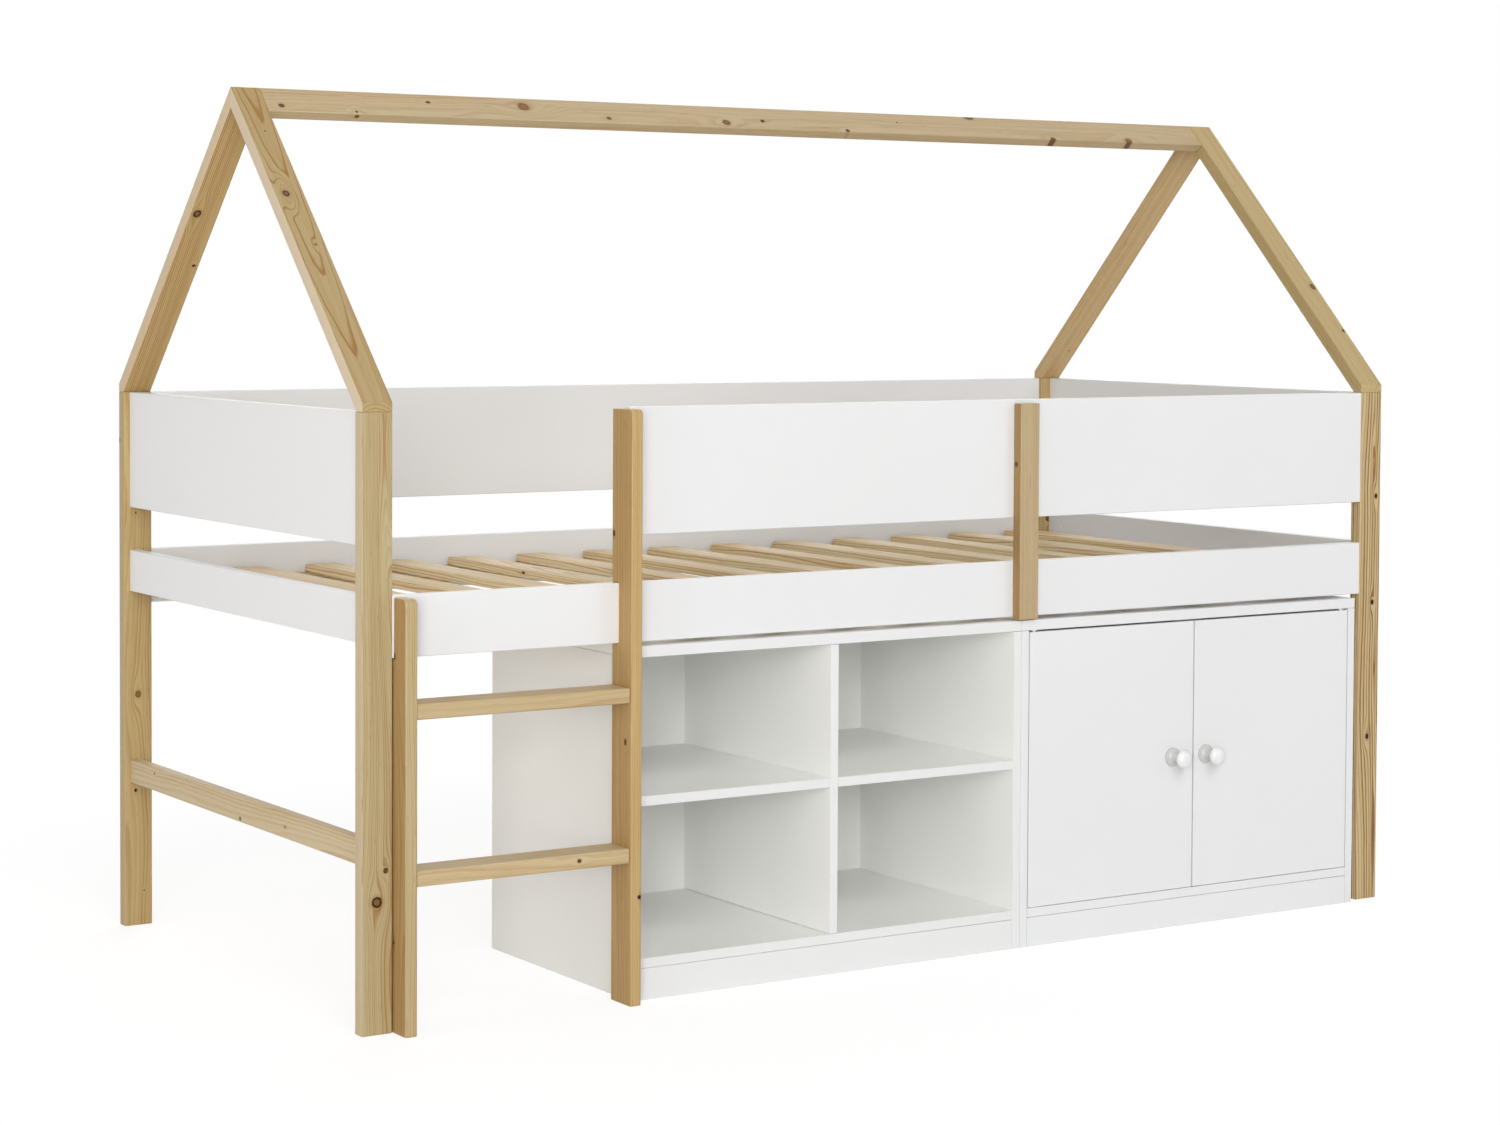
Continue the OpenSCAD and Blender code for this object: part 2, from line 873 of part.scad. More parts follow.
// ---------------------------------------------------------------- cupboard

// The four pins under the loose shelf, one near each corner
shelf_pin_z = loose_shelf_z - panel_t - shelf_pin_d / 2 - shelf_pin_rest;
shelf_pin_edge = 40;
loose_shelf_y = unit_y + door_t + loose_shelf_back;
loose_shelf_d = unit_y + inner_d - loose_shelf_gap - loose_shelf_y;
module shelf_pin_rods(extra = 0) {
    pin_l = shelf_pin_in + shelf_pin_out;
    for (x = [cupboard_x + panel_t, cupboard_x + unit_w - panel_t])
        for (y = [loose_shelf_y + shelf_pin_edge,
                  loose_shelf_y + loose_shelf_d - shelf_pin_edge])
            rod([x, y, shelf_pin_z], "x", shelf_pin_d + 2 * extra, pin_l + 2 * extra);
}

// Bushes for the pivot pins: one in the top and one in the bottom panel for each door
module bush_bodies(extra = 0) {
    for (x = [pivot_left_x, pivot_right_x]) {
        translate([x, pivot_y, side_h])
            cylinder(d = pin_d + 2 * bush_wall + 2 * extra, h = bush_depth + extra);
        translate([x, pivot_y, deck_z - bush_depth - extra])
            cylinder(d = pin_d + 2 * bush_wall + 2 * extra, h = bush_depth + extra);
    }
}

module bush_flanges() {
    for (x = [pivot_left_x, pivot_right_x])
        for (z = [deck_z, side_h - flange_t])
            translate([x, pivot_y, z])
                cylinder(d = pin_d + 2 * (bush_wall + flange_wall), h = flange_t);
}

module cupboard_top() {
    color(white) on_bed()
        carcass_top(cupboard_x)
            bush_bodies(fit);
}

module cupboard_side_left() {
    color(white) on_bed()
        carcass_side(cupboard_x, false)
            shelf_pin_rods(fit);
}

module cupboard_side_right() {
    color(white) on_bed()
        carcass_side(cupboard_x, true)
            shelf_pin_rods(fit);
}

module cupboard_bottom() {
    color(white) on_bed()
        carcass_bottom(cupboard_x)
            bush_bodies(fit);
}

module cupboard_plinth() {
    color(white) on_bed() carcass_plinth(cupboard_x);
}

module cupboard_back() {
    color(white) on_bed() carcass_back(cupboard_x);
}

module cupboard_shelf() {
    color(white) on_bed()
        board([cupboard_x + panel_t + loose_shelf_gap, loose_shelf_y, loose_shelf_z - panel_t],
              [inner_w - 2 * loose_shelf_gap, loose_shelf_d, panel_t]);
}

// ---------------------------------------------------------------- doors

module pins(x, extra = 0) {
    upper_l = pin_in_door + door_top_gap + pin_in_bush;
    lower_l = pin_in_door + door_foot_gap + pin_in_bush;
    translate([x, pivot_y, side_h + pin_in_bush - upper_l - extra])
        cylinder(d = pin_d + 2 * extra, h = upper_l + extra);
    translate([x, pivot_y, deck_z - pin_in_bush])
        cylinder(d = pin_d + 2 * extra, h = lower_l + extra);
}

// A screw through the door from behind, into the knob
module knob_screw(x, extra = 0) {
    translate([x, unit_y + door_t, knob_z])
        rotate([-90, 0, 0])
            screw_shape(knob_screw_l, extra);
}

module door(x, pivot_x, knob_x) {
    difference() {
        board([x, unit_y, door_z], [door_w, door_t, door_h]);
        pins(pivot_x, fit);
        knob_screw(knob_x, fit);
    }
}

module door_left() {
    color(white) on_bed() door(door_left_x, pivot_left_x, knob_left_x);
}

module door_right() {
    color(white) on_bed() door(door_right_x, pivot_right_x, knob_right_x);
}

// Half outline of a knob: flat foot, hollow flare down to the neck, ball
module knob_outline() {
    square([knob_foot_d / 2, knob_foot_t]);
    translate([0, knob_foot_t])
        difference() {
            square([knob_neck_d / 2 + knob_flare, knob_flare]);
            translate([knob_neck_d / 2 + knob_flare, knob_flare])
                circle(knob_flare);
        }
    square([knob_neck_d / 2, knob_reach - knob_ball_d / 2]);
    translate([0, knob_reach - knob_ball_d / 2])
        intersection() {
            circle(d = knob_ball_d);
            translate([0, -knob_ball_d])
                square([knob_ball_d, 2 * knob_ball_d]);
        }
}

module knob(x) {
    difference() {
        translate([x, unit_y, knob_z])
            rotate([90, 0, 0])
                rotate_extrude()
                    knob_outline();
        knob_screw(x, fit);
    }
}

module knob_left() {
    color(white) on_bed() knob(knob_left_x);
}

module knob_right() {
    color(white) on_bed() knob(knob_right_x);
}

module knob_screw_left() {
    color(steel) on_bed() knob_screw(knob_left_x);
}

module knob_screw_right() {
    color(steel) on_bed() knob_screw(knob_right_x);
}

module pivot_pins_left() {
    color(steel) on_bed() pins(pivot_left_x);
}

module pivot_pins_right() {
    color(steel) on_bed() pins(pivot_right_x);
}

// Steel plates on the doors' inner faces, which the magnets hold
module strike_plate(x) {
    board([x, unit_y + door_t, door_z + door_h - strike_edge - catch_h], [strike_w, strike_t, catch_h]);
}

module strike_plate_left() {
    color(steel) on_bed() strike_plate(door_left_x + door_w - strike_edge - strike_w);
}

module strike_plate_right() {
    color(steel) on_bed() strike_plate(door_right_x + strike_edge);
}

module pivot_bushes() {
    color(white) on_bed()
        difference() {
            union() {
                bush_bodies();
                bush_flanges();
            }
            for (x = [pivot_left_x, pivot_right_x])
                translate([x, pivot_y, 0])
                    cylinder(d = pin_d + 2 * running, h = unit_h);
        }
}

// Twin magnet housing under the cupboard's top panel, behind both strike plates
module magnetic_catch() {
    color(white) on_bed()
        board([cupboard_x + (unit_w - catch_w) / 2, unit_y + door_t + strike_t + catch_gap,
               side_h - door_top_gap - strike_edge - catch_h],
              [catch_w, catch_d, catch_h + door_top_gap + strike_edge]);
}

module shelf_pins() {
    color(steel) on_bed() shelf_pin_rods();
}

// ---------------------------------------------------------------- fixings

module cam_bolts() {
    color(steel) on_bed()
        for (j = JOINTS)
            at_joint(j)
                joint_bolts(j);
}

module cam_locks() {
    color(zinc) on_bed()
        for (j = JOINTS)
            at_joint(j)
                joint_cam_bodies(j);
}

module dowels() {
    color(beech) on_bed() {
        for (j = JOINTS)
            at_joint(j)
                joint_dowels(j);
        dowel_row(ROOF_DOWELS);
        dowel_row(RUNG_DOWELS);
        dowel_row(SHELF_UNIT_DOWELS);
        dowel_row(CUPBOARD_DOWELS);
    }
}

module wood_screws() {
    color(steel) on_bed()
        screws(concat(STILE_SCREWS, GUARD_POST_SCREWS, SLAT_SCREWS,
                      BATTEN_FRONT_SCREWS, BATTEN_BACK_SCREWS));
}

post_front_left();
post_front_right();
post_back_left();
post_back_right();
rafter_front_left();
rafter_front_right();
rafter_back_left();
rafter_back_right();
ridge_beam();
side_rail_front();
side_rail_back();
end_rail_left();
end_rail_right();
guard_board_front();
guard_board_back();
guard_board_left();
guard_board_right();
stretcher_left();
stretcher_right();
ladder_stile_short();
ladder_stile_long();
ladder_rung_lower();
ladder_rung_upper();
guard_post();
slats();
slat_batten_front();
slat_batten_back();
shelf_unit_top();
shelf_unit_side_left();
shelf_unit_side_right();
shelf_unit_bottom();
shelf_unit_plinth();
shelf_unit_back();
shelf_unit_divider();
shelf_left();
shelf_right();
cupboard_top();
cupboard_side_left();
cupboard_side_right();
cupboard_bottom();
cupboard_plinth();
cupboard_back();
cupboard_shelf();
door_left();
door_right();
knob_left();
knob_right();
knob_screw_left();
knob_screw_right();
pivot_pins_left();
pivot_pins_right();
strike_plate_left();
strike_plate_right();
pivot_bushes();
magnetic_catch();
shelf_pins();
cam_bolts();
cam_locks();
dowels();
wood_screws();
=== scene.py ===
# %% [markdown]
# # A cabin bed with a house roof
#
# The bed is a pine frame with white boards: four corner posts, four rafters, a
# ridge beam, a short ladder and a slatted base. Two white storage units stand
# under it. The later cells give its pieces eased edges and a real finish, and
# leave them in their places. The box of the solids is kept, because the
# finished bed must not outgrow it.

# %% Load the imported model
import math

import bmesh
import bpy
from mathutils import Euler, Matrix, Vector


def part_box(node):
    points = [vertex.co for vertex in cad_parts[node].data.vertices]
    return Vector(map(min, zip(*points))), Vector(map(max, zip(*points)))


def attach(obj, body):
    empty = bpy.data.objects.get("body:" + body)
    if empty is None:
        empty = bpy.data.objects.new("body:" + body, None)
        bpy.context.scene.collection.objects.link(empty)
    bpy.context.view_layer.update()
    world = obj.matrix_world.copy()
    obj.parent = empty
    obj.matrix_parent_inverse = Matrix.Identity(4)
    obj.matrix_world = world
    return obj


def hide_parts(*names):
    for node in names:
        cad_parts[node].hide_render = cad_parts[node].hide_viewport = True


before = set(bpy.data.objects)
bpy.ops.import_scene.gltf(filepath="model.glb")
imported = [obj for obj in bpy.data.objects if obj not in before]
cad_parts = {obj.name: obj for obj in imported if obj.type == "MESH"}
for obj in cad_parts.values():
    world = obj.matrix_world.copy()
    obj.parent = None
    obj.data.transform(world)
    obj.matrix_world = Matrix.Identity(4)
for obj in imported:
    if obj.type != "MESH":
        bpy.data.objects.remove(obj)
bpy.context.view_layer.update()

# %% [markdown]
# ## A tape measure on the bed
#
# A joiner measures a bed from one corner. Here x runs from the outside of the
# left posts, y from the front of the front posts and z from the floor, all in
# millimetres. The scene itself is in metres, with its origin under the middle
# of the whole object, knobs included. One small function turns one into the
# other, so every later number can be read as a joiner would write it down.

# %% Millimetres on the bed to metres in the scene
MM = 0.001
LENGTH, DEPTH, POST_TOP, APEX_Z = 2060, 968, 932, 1437
KNOB_REACH = 52


def at(x, y, z):
    """A point measured on the bed, in the scene's metres."""
    return Vector(((x - LENGTH / 2) * MM, (y - (DEPTH - KNOB_REACH) / 2) * MM, z * MM))


NOSE = 14
SLOPE = math.atan2(APEX_Z - POST_TOP - NOSE, DEPTH / 2)
print("roof slope:", round(math.degrees(SLOPE), 2), "degrees")

# %% [markdown]
# ## The camera
#
# A product photographer stands well back with a long lens and slides the lens
# down, so that the camera tilts by only two degrees and upright edges look
# parallel. The place, the turn and the lens were solved from the edges of the
# bed. The three axes of the camera are written as a matrix, because that says
# exactly where it looks, and a small roll is part of it.

# %% Camera
def new_object(name, data):
    """An object in the scene that shows the data."""
    thing = bpy.data.objects.new(name, data)
    bpy.context.scene.collection.objects.link(thing)
    return thing


turn, pitch, roll = (math.radians(a) for a in (-32.77039, 2.13509, 0.29630))
ahead = Vector((-math.sin(turn) * math.cos(pitch), math.cos(turn) * math.cos(pitch), -math.sin(pitch)))
side = Vector((math.cos(turn), math.sin(turn), 0))
rise = side.cross(ahead)
right = math.cos(roll) * side + math.sin(roll) * rise
up = math.cos(roll) * rise - math.sin(roll) * side

LENS, LENS_SHIFT = 75.063, -0.10788
STAND = (-3.04868, -4.65323, 1.12460)
camera_data = bpy.data.cameras.new("studio_camera")
camera_data.lens = LENS
camera_data.sensor_width = 36
camera_data.sensor_fit = "HORIZONTAL"
camera_data.shift_y = LENS_SHIFT
camera_data.clip_end = 60
camera = new_object("studio_camera", camera_data)
facing = Matrix((right, up, -ahead)).transposed().to_4x4()
camera.matrix_world = Matrix.Translation(STAND) @ facing
bpy.context.scene.camera = camera
print("camera:", tuple(round(c, 3) for c in camera.location), "lens", LENS)

# %% [markdown]
# ## Adding shader nodes
#
# Every finish below is a small network of shader nodes, and a few helpers keep
# it readable. `fill` sets or links the sockets of a node, and `add` makes the
# node first. `calc` and `shift` are steps of arithmetic with numbers and with
# vectors, `tint` mixes two colours, and `fade` is a soft step. Without them
# each node would take five lines.


# %% Node helpers
def fill(tree, node, inputs):
    """Sets or links the sockets of a node, and gives its outputs."""
    for name, value in inputs.items():
        if isinstance(value, bpy.types.NodeSocket):
            tree.links.new(value, node.inputs[name])
        else:
            node.inputs[name].default_value = value
    return node.outputs


def add(tree, kind, inputs=None, **settings):
    """A new shader node with its settings and sockets. It gives the node's outputs."""
    node = tree.nodes.new("ShaderNode" + kind)
    for name, value in settings.items():
        setattr(node, name, value)
    return fill(tree, node, inputs or {})


def calc(tree, operation, *values):
    """One step of arithmetic."""
    return add(tree, "Math", dict(enumerate(values)), operation=operation)[0]


def shift(tree, operation, *values):
    """One step of vector arithmetic."""
    outputs = add(tree, "VectorMath", dict(enumerate(values)), operation=operation)
    return outputs["Value" if operation == "LENGTH" else "Vector"]


def scale(tree, vector, factor):
    """A vector made longer or shorter."""
    return add(tree, "VectorMath", {0: vector, "Scale": factor}, operation="SCALE")["Vector"]


def tint(tree, factor, a, b, mode="MIX"):
    """Colour a turned into colour b by factor."""
    return add(tree, "Mix", {0: factor, 6: a, 7: b}, data_type="RGBA", blend_type=mode)[2]


def speckle(tree, place, fineness, detail):
    """Even noise from 0 to 1."""
    return add(tree, "TexNoise", {"Vector": place, "Scale": fineness, "Detail": detail})["Fac"]


def fade(tree, value, low, high, start=0.0, end=1.0):
    """A soft step: start below low, end above high."""
    limits = {"Value": value, "From Min": low, "From Max": high, "To Min": start, "To Max": end}
    return add(tree, "MapRange", limits, interpolation_type="SMOOTHSTEP")["Result"]


# %% Groups and materials
def new_group(name, takes, gives):
    """An empty shader group. takes has a first value for each input, or None for a vector.
    It comes back with its inputs, and with the node that its results go into."""
    group = bpy.data.node_groups.new(name, "ShaderNodeTree")
    for label, value in takes.items():
        kind = "Vector" if value is None else "Color" if isinstance(value, tuple) else "Float"
        socket = group.interface.new_socket(label, in_out="INPUT", socket_type="NodeSocket" + kind)
        if value is not None:
            socket.default_value = value
    for label, kind in gives.items():
        group.interface.new_socket(label, in_out="OUTPUT", socket_type="NodeSocket" + kind)
    return group, group.nodes.new("NodeGroupInput").outputs, group.nodes.new("NodeGroupOutput")


FINISH = {"Colour": "Color", "Roughness": "Float", "Height": "Float"}


def bare_tree(owner):
    """The emptied node tree of a material or a world."""
    owner.use_nodes = True
    owner.node_tree.nodes.clear()
    return owner.node_tree


def new_material(name):
    """A material with a fresh Principled shader, and the place on the object that its patterns start from."""
    material = bpy.data.materials.new(name)
    tree = bare_tree(material)
    shader = tree.nodes.new("ShaderNodeBsdfPrincipled")
    add(tree, "OutputMaterial", {"Surface": shader.outputs[0]})
    return material, tree, shader, add(tree, "TexCoord")["Object"]


def dress(tree, shader, finish, strength, distance):
    """Gives a shader the colour, roughness and height of a finish. strength and distance are its relief's."""
    bump = add(tree, "Bump", {"Height": finish["Height"], "Strength": strength, "Distance": distance})
    fill(tree, shader, {"Base Color": finish["Colour"], "Roughness": finish["Roughness"], "Normal": bump[0]})


# %% [markdown]
# ## The studio
#
# The photograph was taken on white with large soft lights, so the bed has
# hardly any shadow, and even the bays of the shelf unit are bright. Three big
# soft boxes stand far off in front: one low, which reaches to the backs of the
# bays, one above it, and one high up for the tops of the shelves. Nearer ones
# would light the left end of a two-metre bed much more than the right end. A
# smaller one at the front right throws the faint shadows of the ladder, and a
# weak warm one stands near the left end. The boxes overhead and behind are the
# largest, because a small one there would shine in hard dashes through the
# gaps between the slats. The world adds only a little. It is white just for
# the camera and for mirror-like rays, through the Light Path node, so that it
# pours no more light on the bed.

# %% World
AMBIENT = 0.2


def seen_directly(tree):
    """1 for what the camera sees straight, in a mirror or through glass, and 0 for all other light."""
    rays = add(tree, "LightPath")
    return calc(tree, "MAXIMUM", rays["Is Camera Ray"],
                calc(tree, "MAXIMUM", rays["Is Glossy Ray"], rays["Is Transmission Ray"]))


world = bpy.data.worlds.new("white_studio")
bpy.context.scene.world = world
sky = bare_tree(world)
glow = calc(sky, "MULTIPLY_ADD", seen_directly(sky), 1 - AMBIENT, AMBIENT)
backdrop = add(sky, "Background", {"Color": (1, 1, 1, 1), "Strength": glow})
add(sky, "OutputWorld", {"Surface": backdrop[0]})
bpy.context.scene.view_settings.view_transform = "Standard"
print("world light:", AMBIENT, "seen as", 1.0)

# %% Soft lights
BED_MIDDLE = (0, 0, 0.6)


def soft_light(name, place, size, watts, aim=BED_MIDDLE):
    """A square soft box that faces the bed."""
    lamp = bpy.data.lights.new(name, "AREA")
    lamp.shape = "SQUARE"
    lamp.size = size
    lamp.energy = watts
    softbox = new_object(name, lamp)
    softbox.location = place
    softbox.rotation_euler = (Vector(place) - Vector(aim)).to_track_quat("Z", "Y").to_euler()
    return softbox


def around(azimuth, height, distance):
    """A place round the bed: azimuth from straight in front, towards the right."""
    a, h = math.radians(azimuth), math.radians(height)
    return (distance * math.sin(a) * math.cos(h), -distance * math.cos(a) * math.cos(h),
            BED_MIDDLE[2] + distance * math.sin(h))


lamps = [soft_light(name, around(*place), size, watts) for name, place, size, watts in (
    ("key_softbox", (37, 20, 10), 1.9, 80),
    ("front_softbox", (-26, 20, 15), 6, 575),
    ("high_softbox", (-15, 40, 15), 6, 390),
    ("low_softbox", (-38, 7, 15), 4.4, 630),
    ("top_softbox", (-20, 84, 8), 12, 95),
    ("back_softbox", (142, 34, 15), 13, 850))]
left_end = soft_light("end_softbox", (-3.2, -0.7, 0.95), 1.6, 15, (-1.0, -0.1, 0.7))
left_end.data.color = (1.0, 0.965, 0.915)
print("lights at", [[round(c, 2) for c in lamp.location] for lamp in lamps + [left_end]])

# %% [markdown]
# ## The floor
#
# The floor is a plain pale sheet. It takes the light like paper and throws
# some of it back under the bed. For rays that come from the camera or from a
# reflection it has a glow of its own, which lifts it to the white of the
# background but still lets the soft shadow under the bed show. Far from the
# bed the glow takes over, so that no edge of the sheet is seen.

# %% Floor
SHEET = 12.0
FADE_START, FADE_END = 1.0, 1.9


def settled(mesh, name):
    """The bmesh as mesh data. The bmesh is used up."""
    data = bpy.data.meshes.new(name)
    mesh.to_mesh(data)
    mesh.free()
    return data


sheet = bmesh.new()
bmesh.ops.create_grid(sheet, x_segments=1, y_segments=1, size=SHEET)
floor = new_object("studio_floor", settled(sheet, "studio_floor"))

paper = bpy.data.materials.new("white paper floor")
net = bare_tree(paper)
oval = shift(net, "MULTIPLY", add(net, "TexCoord")["Object"], (0.8, 1.0, 0.0))
far = fade(net, shift(net, "LENGTH", oval), FADE_START, FADE_END)
plain = add(net, "BsdfDiffuse", {"Color": (0.82, 0.82, 0.82, 1)})[0]
faint = add(net, "BsdfDiffuse", {"Color": (0.30, 0.30, 0.30, 1)})[0]
glow = add(net, "Emission", {"Strength": 0.78})[0]
near_bed = add(net, "AddShader", {0: faint, 1: glow})[0]
white = add(net, "Emission", {"Strength": 1.0})[0]
looked_at = add(net, "MixShader", {0: far, 1: near_bed, 2: white})[0]
both = add(net, "MixShader", {0: seen_directly(net), 1: plain, 2: looked_at})[0]
add(net, "OutputMaterial", {"Surface": both})
floor.data.materials.append(paper)
print("floor shows its shadow out to", FADE_START, "m and is white from", FADE_END, "m")

# %% [markdown]
# ## Knots in the pine
#
# A knot is the foot of a branch. On the face of a board it is an oval of
# darker, harder wood with a thin rim of bark, and the grain flows round it
# like water round a stone. The branch runs on through the board, so the knot
# is a rod and not a ball. The group below measures how far a point is from
# one rod, and draws the wood's own coordinates in towards the middle of it.
# Any pattern made from those coordinates afterwards bends round the knot. The
# wood also swells towards a branch, which closes the rings round it like the
# lines round a hill on a map. Knots are chained one after the other, and the
# nearest one gives its colours.

# %% Knot group
FLOW = {"Vector": None, "Nearest": 9.0, "Heart": 0.0, "Rim": 0.0, "Swell": 0.0}
knot_group, k_in, k_out = new_group(
    "knot", {**FLOW, "Centre": None, "Shape": None, "Across": None, "This heart": 0.5, "This rim": 0.5,
             "This swell": 0.0},
    {label: "Vector" if value is None else "Float" for label, value in FLOW.items()})
t = knot_group
apart = shift(t, "SUBTRACT", k_in["Vector"], k_in["Centre"])
scaled = shift(t, "MULTIPLY", apart, k_in["Shape"])
ragged = add(t, "TexNoise", {"Vector": scaled, "Scale": 1.9, "Detail": 2.0, "Roughness": 0.6})
dist = calc(t, "MULTIPLY_ADD", ragged["Fac"], 0.45, shift(t, "LENGTH", scaled))
dist = calc(t, "SUBTRACT", dist, 0.22)
reach = shift(t, "LENGTH", shift(t, "MULTIPLY", scaled, (1.0, 1.0, 0.42)))
pull = fade(t, reach, 0.6, 3.8, 1.0, 0.0)
drawn = scale(t, shift(t, "MULTIPLY", apart, k_in["Across"]), pull)
closer = calc(t, "LESS_THAN", dist, k_in["Nearest"])
for word, mine in (("Heart", "This heart"), ("Rim", "This rim")):
    change = calc(t, "SUBTRACT", k_in[mine], k_in[word])
    fill(t, k_out, {word: calc(t, "MULTIPLY_ADD", closer, change, k_in[word])})
rise = calc(t, "MULTIPLY", fade(t, reach, 0.0, 4.4, 1.0, 0.0), k_in["This swell"])
fill(t, k_out, {"Vector": shift(t, "SUBTRACT", k_in["Vector"], drawn),
                "Nearest": calc(t, "MINIMUM", dist, k_in["Nearest"]),
                "Swell": calc(t, "ADD", rise, k_in["Swell"])})
print("knot group:", len(t.nodes), "nodes")

# %% [markdown]
# ## Growth rings
#
# A board is cut from a tree, and its grain is the tree's growth rings seen
# where the saw went through them. So the wood is made as a solid: rings round
# a pith that runs along the board, at a place that each board chooses. A pith
# far to one side gives straight lines, and a pith close behind the face gives
# the tall arches of a flat-sawn board. Slow noise lets the tree grow a little
# crooked. Each ring is pale at first and darkens towards its end, then stops
# short, and some years are darker than others. The ends of the boards show
# the rings as arcs without any extra work. In the photograph the left and
# right faces of some boards are paler or darker than their fronts. The group
# tells those faces from the others by their normal, and gives the pale ones
# painted light, with fainter rings, and the dark ones painted shade.

# %% Pine group: rings
pine_group, p_in, p_out = new_group(
    "pine", {**FLOW, "Pith": None, "Ring": 0.003, "Crooked": 0.012, "Board": 0.0, "Contrast": 1.0,
             "Warmth": 0.0, "Late colour": (0.36, 0.20, 0.07, 1), "Late from": 0.35, "Painted light on sides": 0.0,
             "Painted shade on sides": 0.0, "Tone": (1, 1, 1, 1)}, FINISH)
t = pine_group


def noise(across, along, detail, roughness=0.5):
    """Noise drawn out along the grain, different for each board."""
    drawn_out = shift(t, "MULTIPLY", p_in["Vector"], (across, across, along))
    return add(t, "TexNoise", {
        "Vector": drawn_out, "W": p_in["Board"], "Scale": 1.0, "Detail": detail, "Roughness": roughness},
        noise_dimensions="4D")


def wander(across, along, detail, amount):
    """How far the wood strays to and fro."""
    return scale(t, shift(t, "SUBTRACT", noise(across, along, detail)["Color"], (0.5, 0.5, 0.5)), amount)


slow = wander(5.0, 1.5, 1.0, calc(t, "MULTIPLY", p_in["Crooked"], 4.0))
quick = wander(45.0, 9.0, 2.0, calc(t, "MULTIPLY", p_in["Ring"], 0.9))
from_pith = shift(t, "SUBTRACT", shift(t, "ADD", shift(t, "ADD", p_in["Vector"], slow), quick), p_in["Pith"])
radius = shift(t, "LENGTH", shift(t, "MULTIPLY", from_pith, (1.0, 1.0, 0.0)))
years = calc(t, "ADD", calc(t, "DIVIDE", radius, p_in["Ring"]), p_in["Swell"])
season = calc(t, "FRACT", years)
late = calc(t, "MULTIPLY", fade(t, season, p_in["Late from"], 0.92), fade(t, season, 0.94, 1.0, 1.0, 0.0))
year = add(t, "CombineXYZ", {"X": calc(t, "FLOOR", years), "Y": p_in["Board"]})[0]
luck = add(t, "TexWhiteNoise", {"Vector": year}, noise_dimensions="2D")["Value"]
late = calc(t, "MULTIPLY", late, calc(t, "MULTIPLY_ADD", luck, 0.9, 0.25))
# Left and right faces, found by their normal, get painted light: paler, with fainter rings.
facing = add(t, "SeparateXYZ", {0: add(t, "TexCoord")["Normal"]})["X"]
side_face = fade(t, calc(t, "ABSOLUTE", facing), 0.55, 0.90)
painted_side_light = calc(t, "MULTIPLY", side_face, p_in["Painted light on sides"])
clear = calc(t, "MULTIPLY", p_in["Contrast"], calc(t, "MULTIPLY_ADD", painted_side_light, -0.7, 1.0))
late = calc(t, "MULTIPLY", late, clear)
poor_year = calc(t, "MULTIPLY", fade(t, luck, 0.5, 1.0, 0.0, 0.30), p_in["Contrast"])
print("rings:", len(t.nodes), "nodes")

# %% [markdown]
# ## The colour of the pine
#
# The wood is straw coloured, and its late rings are honey brown. Fine fibres
# run along the grain, broad bands drift in tone, and short dark dashes are the
# resin canals. The knots are red brown, with a dark rim and a warm halo in
# the wood round them. All of this goes out of the group as one colour, one
# roughness and one height.

# %% Pine group: colour of the wood
STRAW, POOR = (0.545, 0.438, 0.250, 1), (0.480, 0.335, 0.145, 1)
fibre = noise(1100.0, 22.0, 2.0, 0.6)["Fac"]
streak = noise(170.0, 3.2, 3.0, 0.6)["Fac"]
broad = noise(16.0, 0.9, 2.0)["Fac"]
resin = noise(650.0, 45.0, 1.0)["Fac"]
wood = tint(t, late, tint(t, poor_year, STRAW, POOR), p_in["Late colour"])
# Among these stains, the left and right faces of some boards get painted shade.
for mask, stain in (
        (fade(t, broad, 0.35, 0.72, 0.0, 0.30), (0.98, 0.90, 0.78, 1)),
        (p_in["Warmth"], (1.0, 0.86, 0.66, 1)),
        (fade(t, streak, 0.40, 0.72, 0.0, 0.42), (0.84, 0.72, 0.52, 1)),
        (fade(t, fibre, 0.38, 0.70, 0.0, 0.38), (0.86, 0.77, 0.62, 1)),
        (fade(t, resin, 0.68, 0.76, 0.0, 0.50), (0.52, 0.37, 0.22, 1)),
        (calc(t, "MULTIPLY", side_face, p_in["Painted shade on sides"]), (0.74, 0.60, 0.42, 1)),
        (1.0, p_in["Tone"])):
    wood = tint(t, mask, wood, stain, "MULTIPLY")
# Painted light: the paler left and right faces.
wood = tint(t, painted_side_light, wood, (0.690, 0.575, 0.430, 1))

# %% Pine group: knots, gloss and relief
HEART, DARK_HEART, BARK = (0.300, 0.140, 0.045, 1), (0.012, 0.005, 0.003, 1), (0.018, 0.007, 0.004, 1)
near = p_in["Nearest"]
halo = calc(t, "MULTIPLY", fade(t, near, 0.9, 2.1, 0.55, 0.0), calc(t, "MULTIPLY_ADD", p_in["Rim"], 0.8, 0.2))
wood = tint(t, halo, wood, (0.64, 0.40, 0.18, 1), "MULTIPLY")
turns = calc(t, "FRACT", calc(t, "MULTIPLY", near, 3.1))
heart = tint(t, p_in["Heart"], HEART, DARK_HEART)
heart = tint(t, fade(t, turns, 0.3, 0.9, 0.0, 0.8), heart, (0.42, 0.28, 0.18, 1), "MULTIPLY")
wood = tint(t, fade(t, near, 0.86, 1.02, 1.0, 0.0), wood, heart)
rim = calc(t, "MULTIPLY", fade(t, near, 0.55, 0.80), fade(t, near, 1.02, 1.20, 1.0, 0.0))
gloss = calc(t, "MULTIPLY_ADD", late, -0.08, calc(t, "MULTIPLY_ADD", fibre, 0.10, 0.46))
relief = calc(t, "MULTIPLY_ADD", late, 0.35, calc(t, "MULTIPLY", fibre, 0.55))
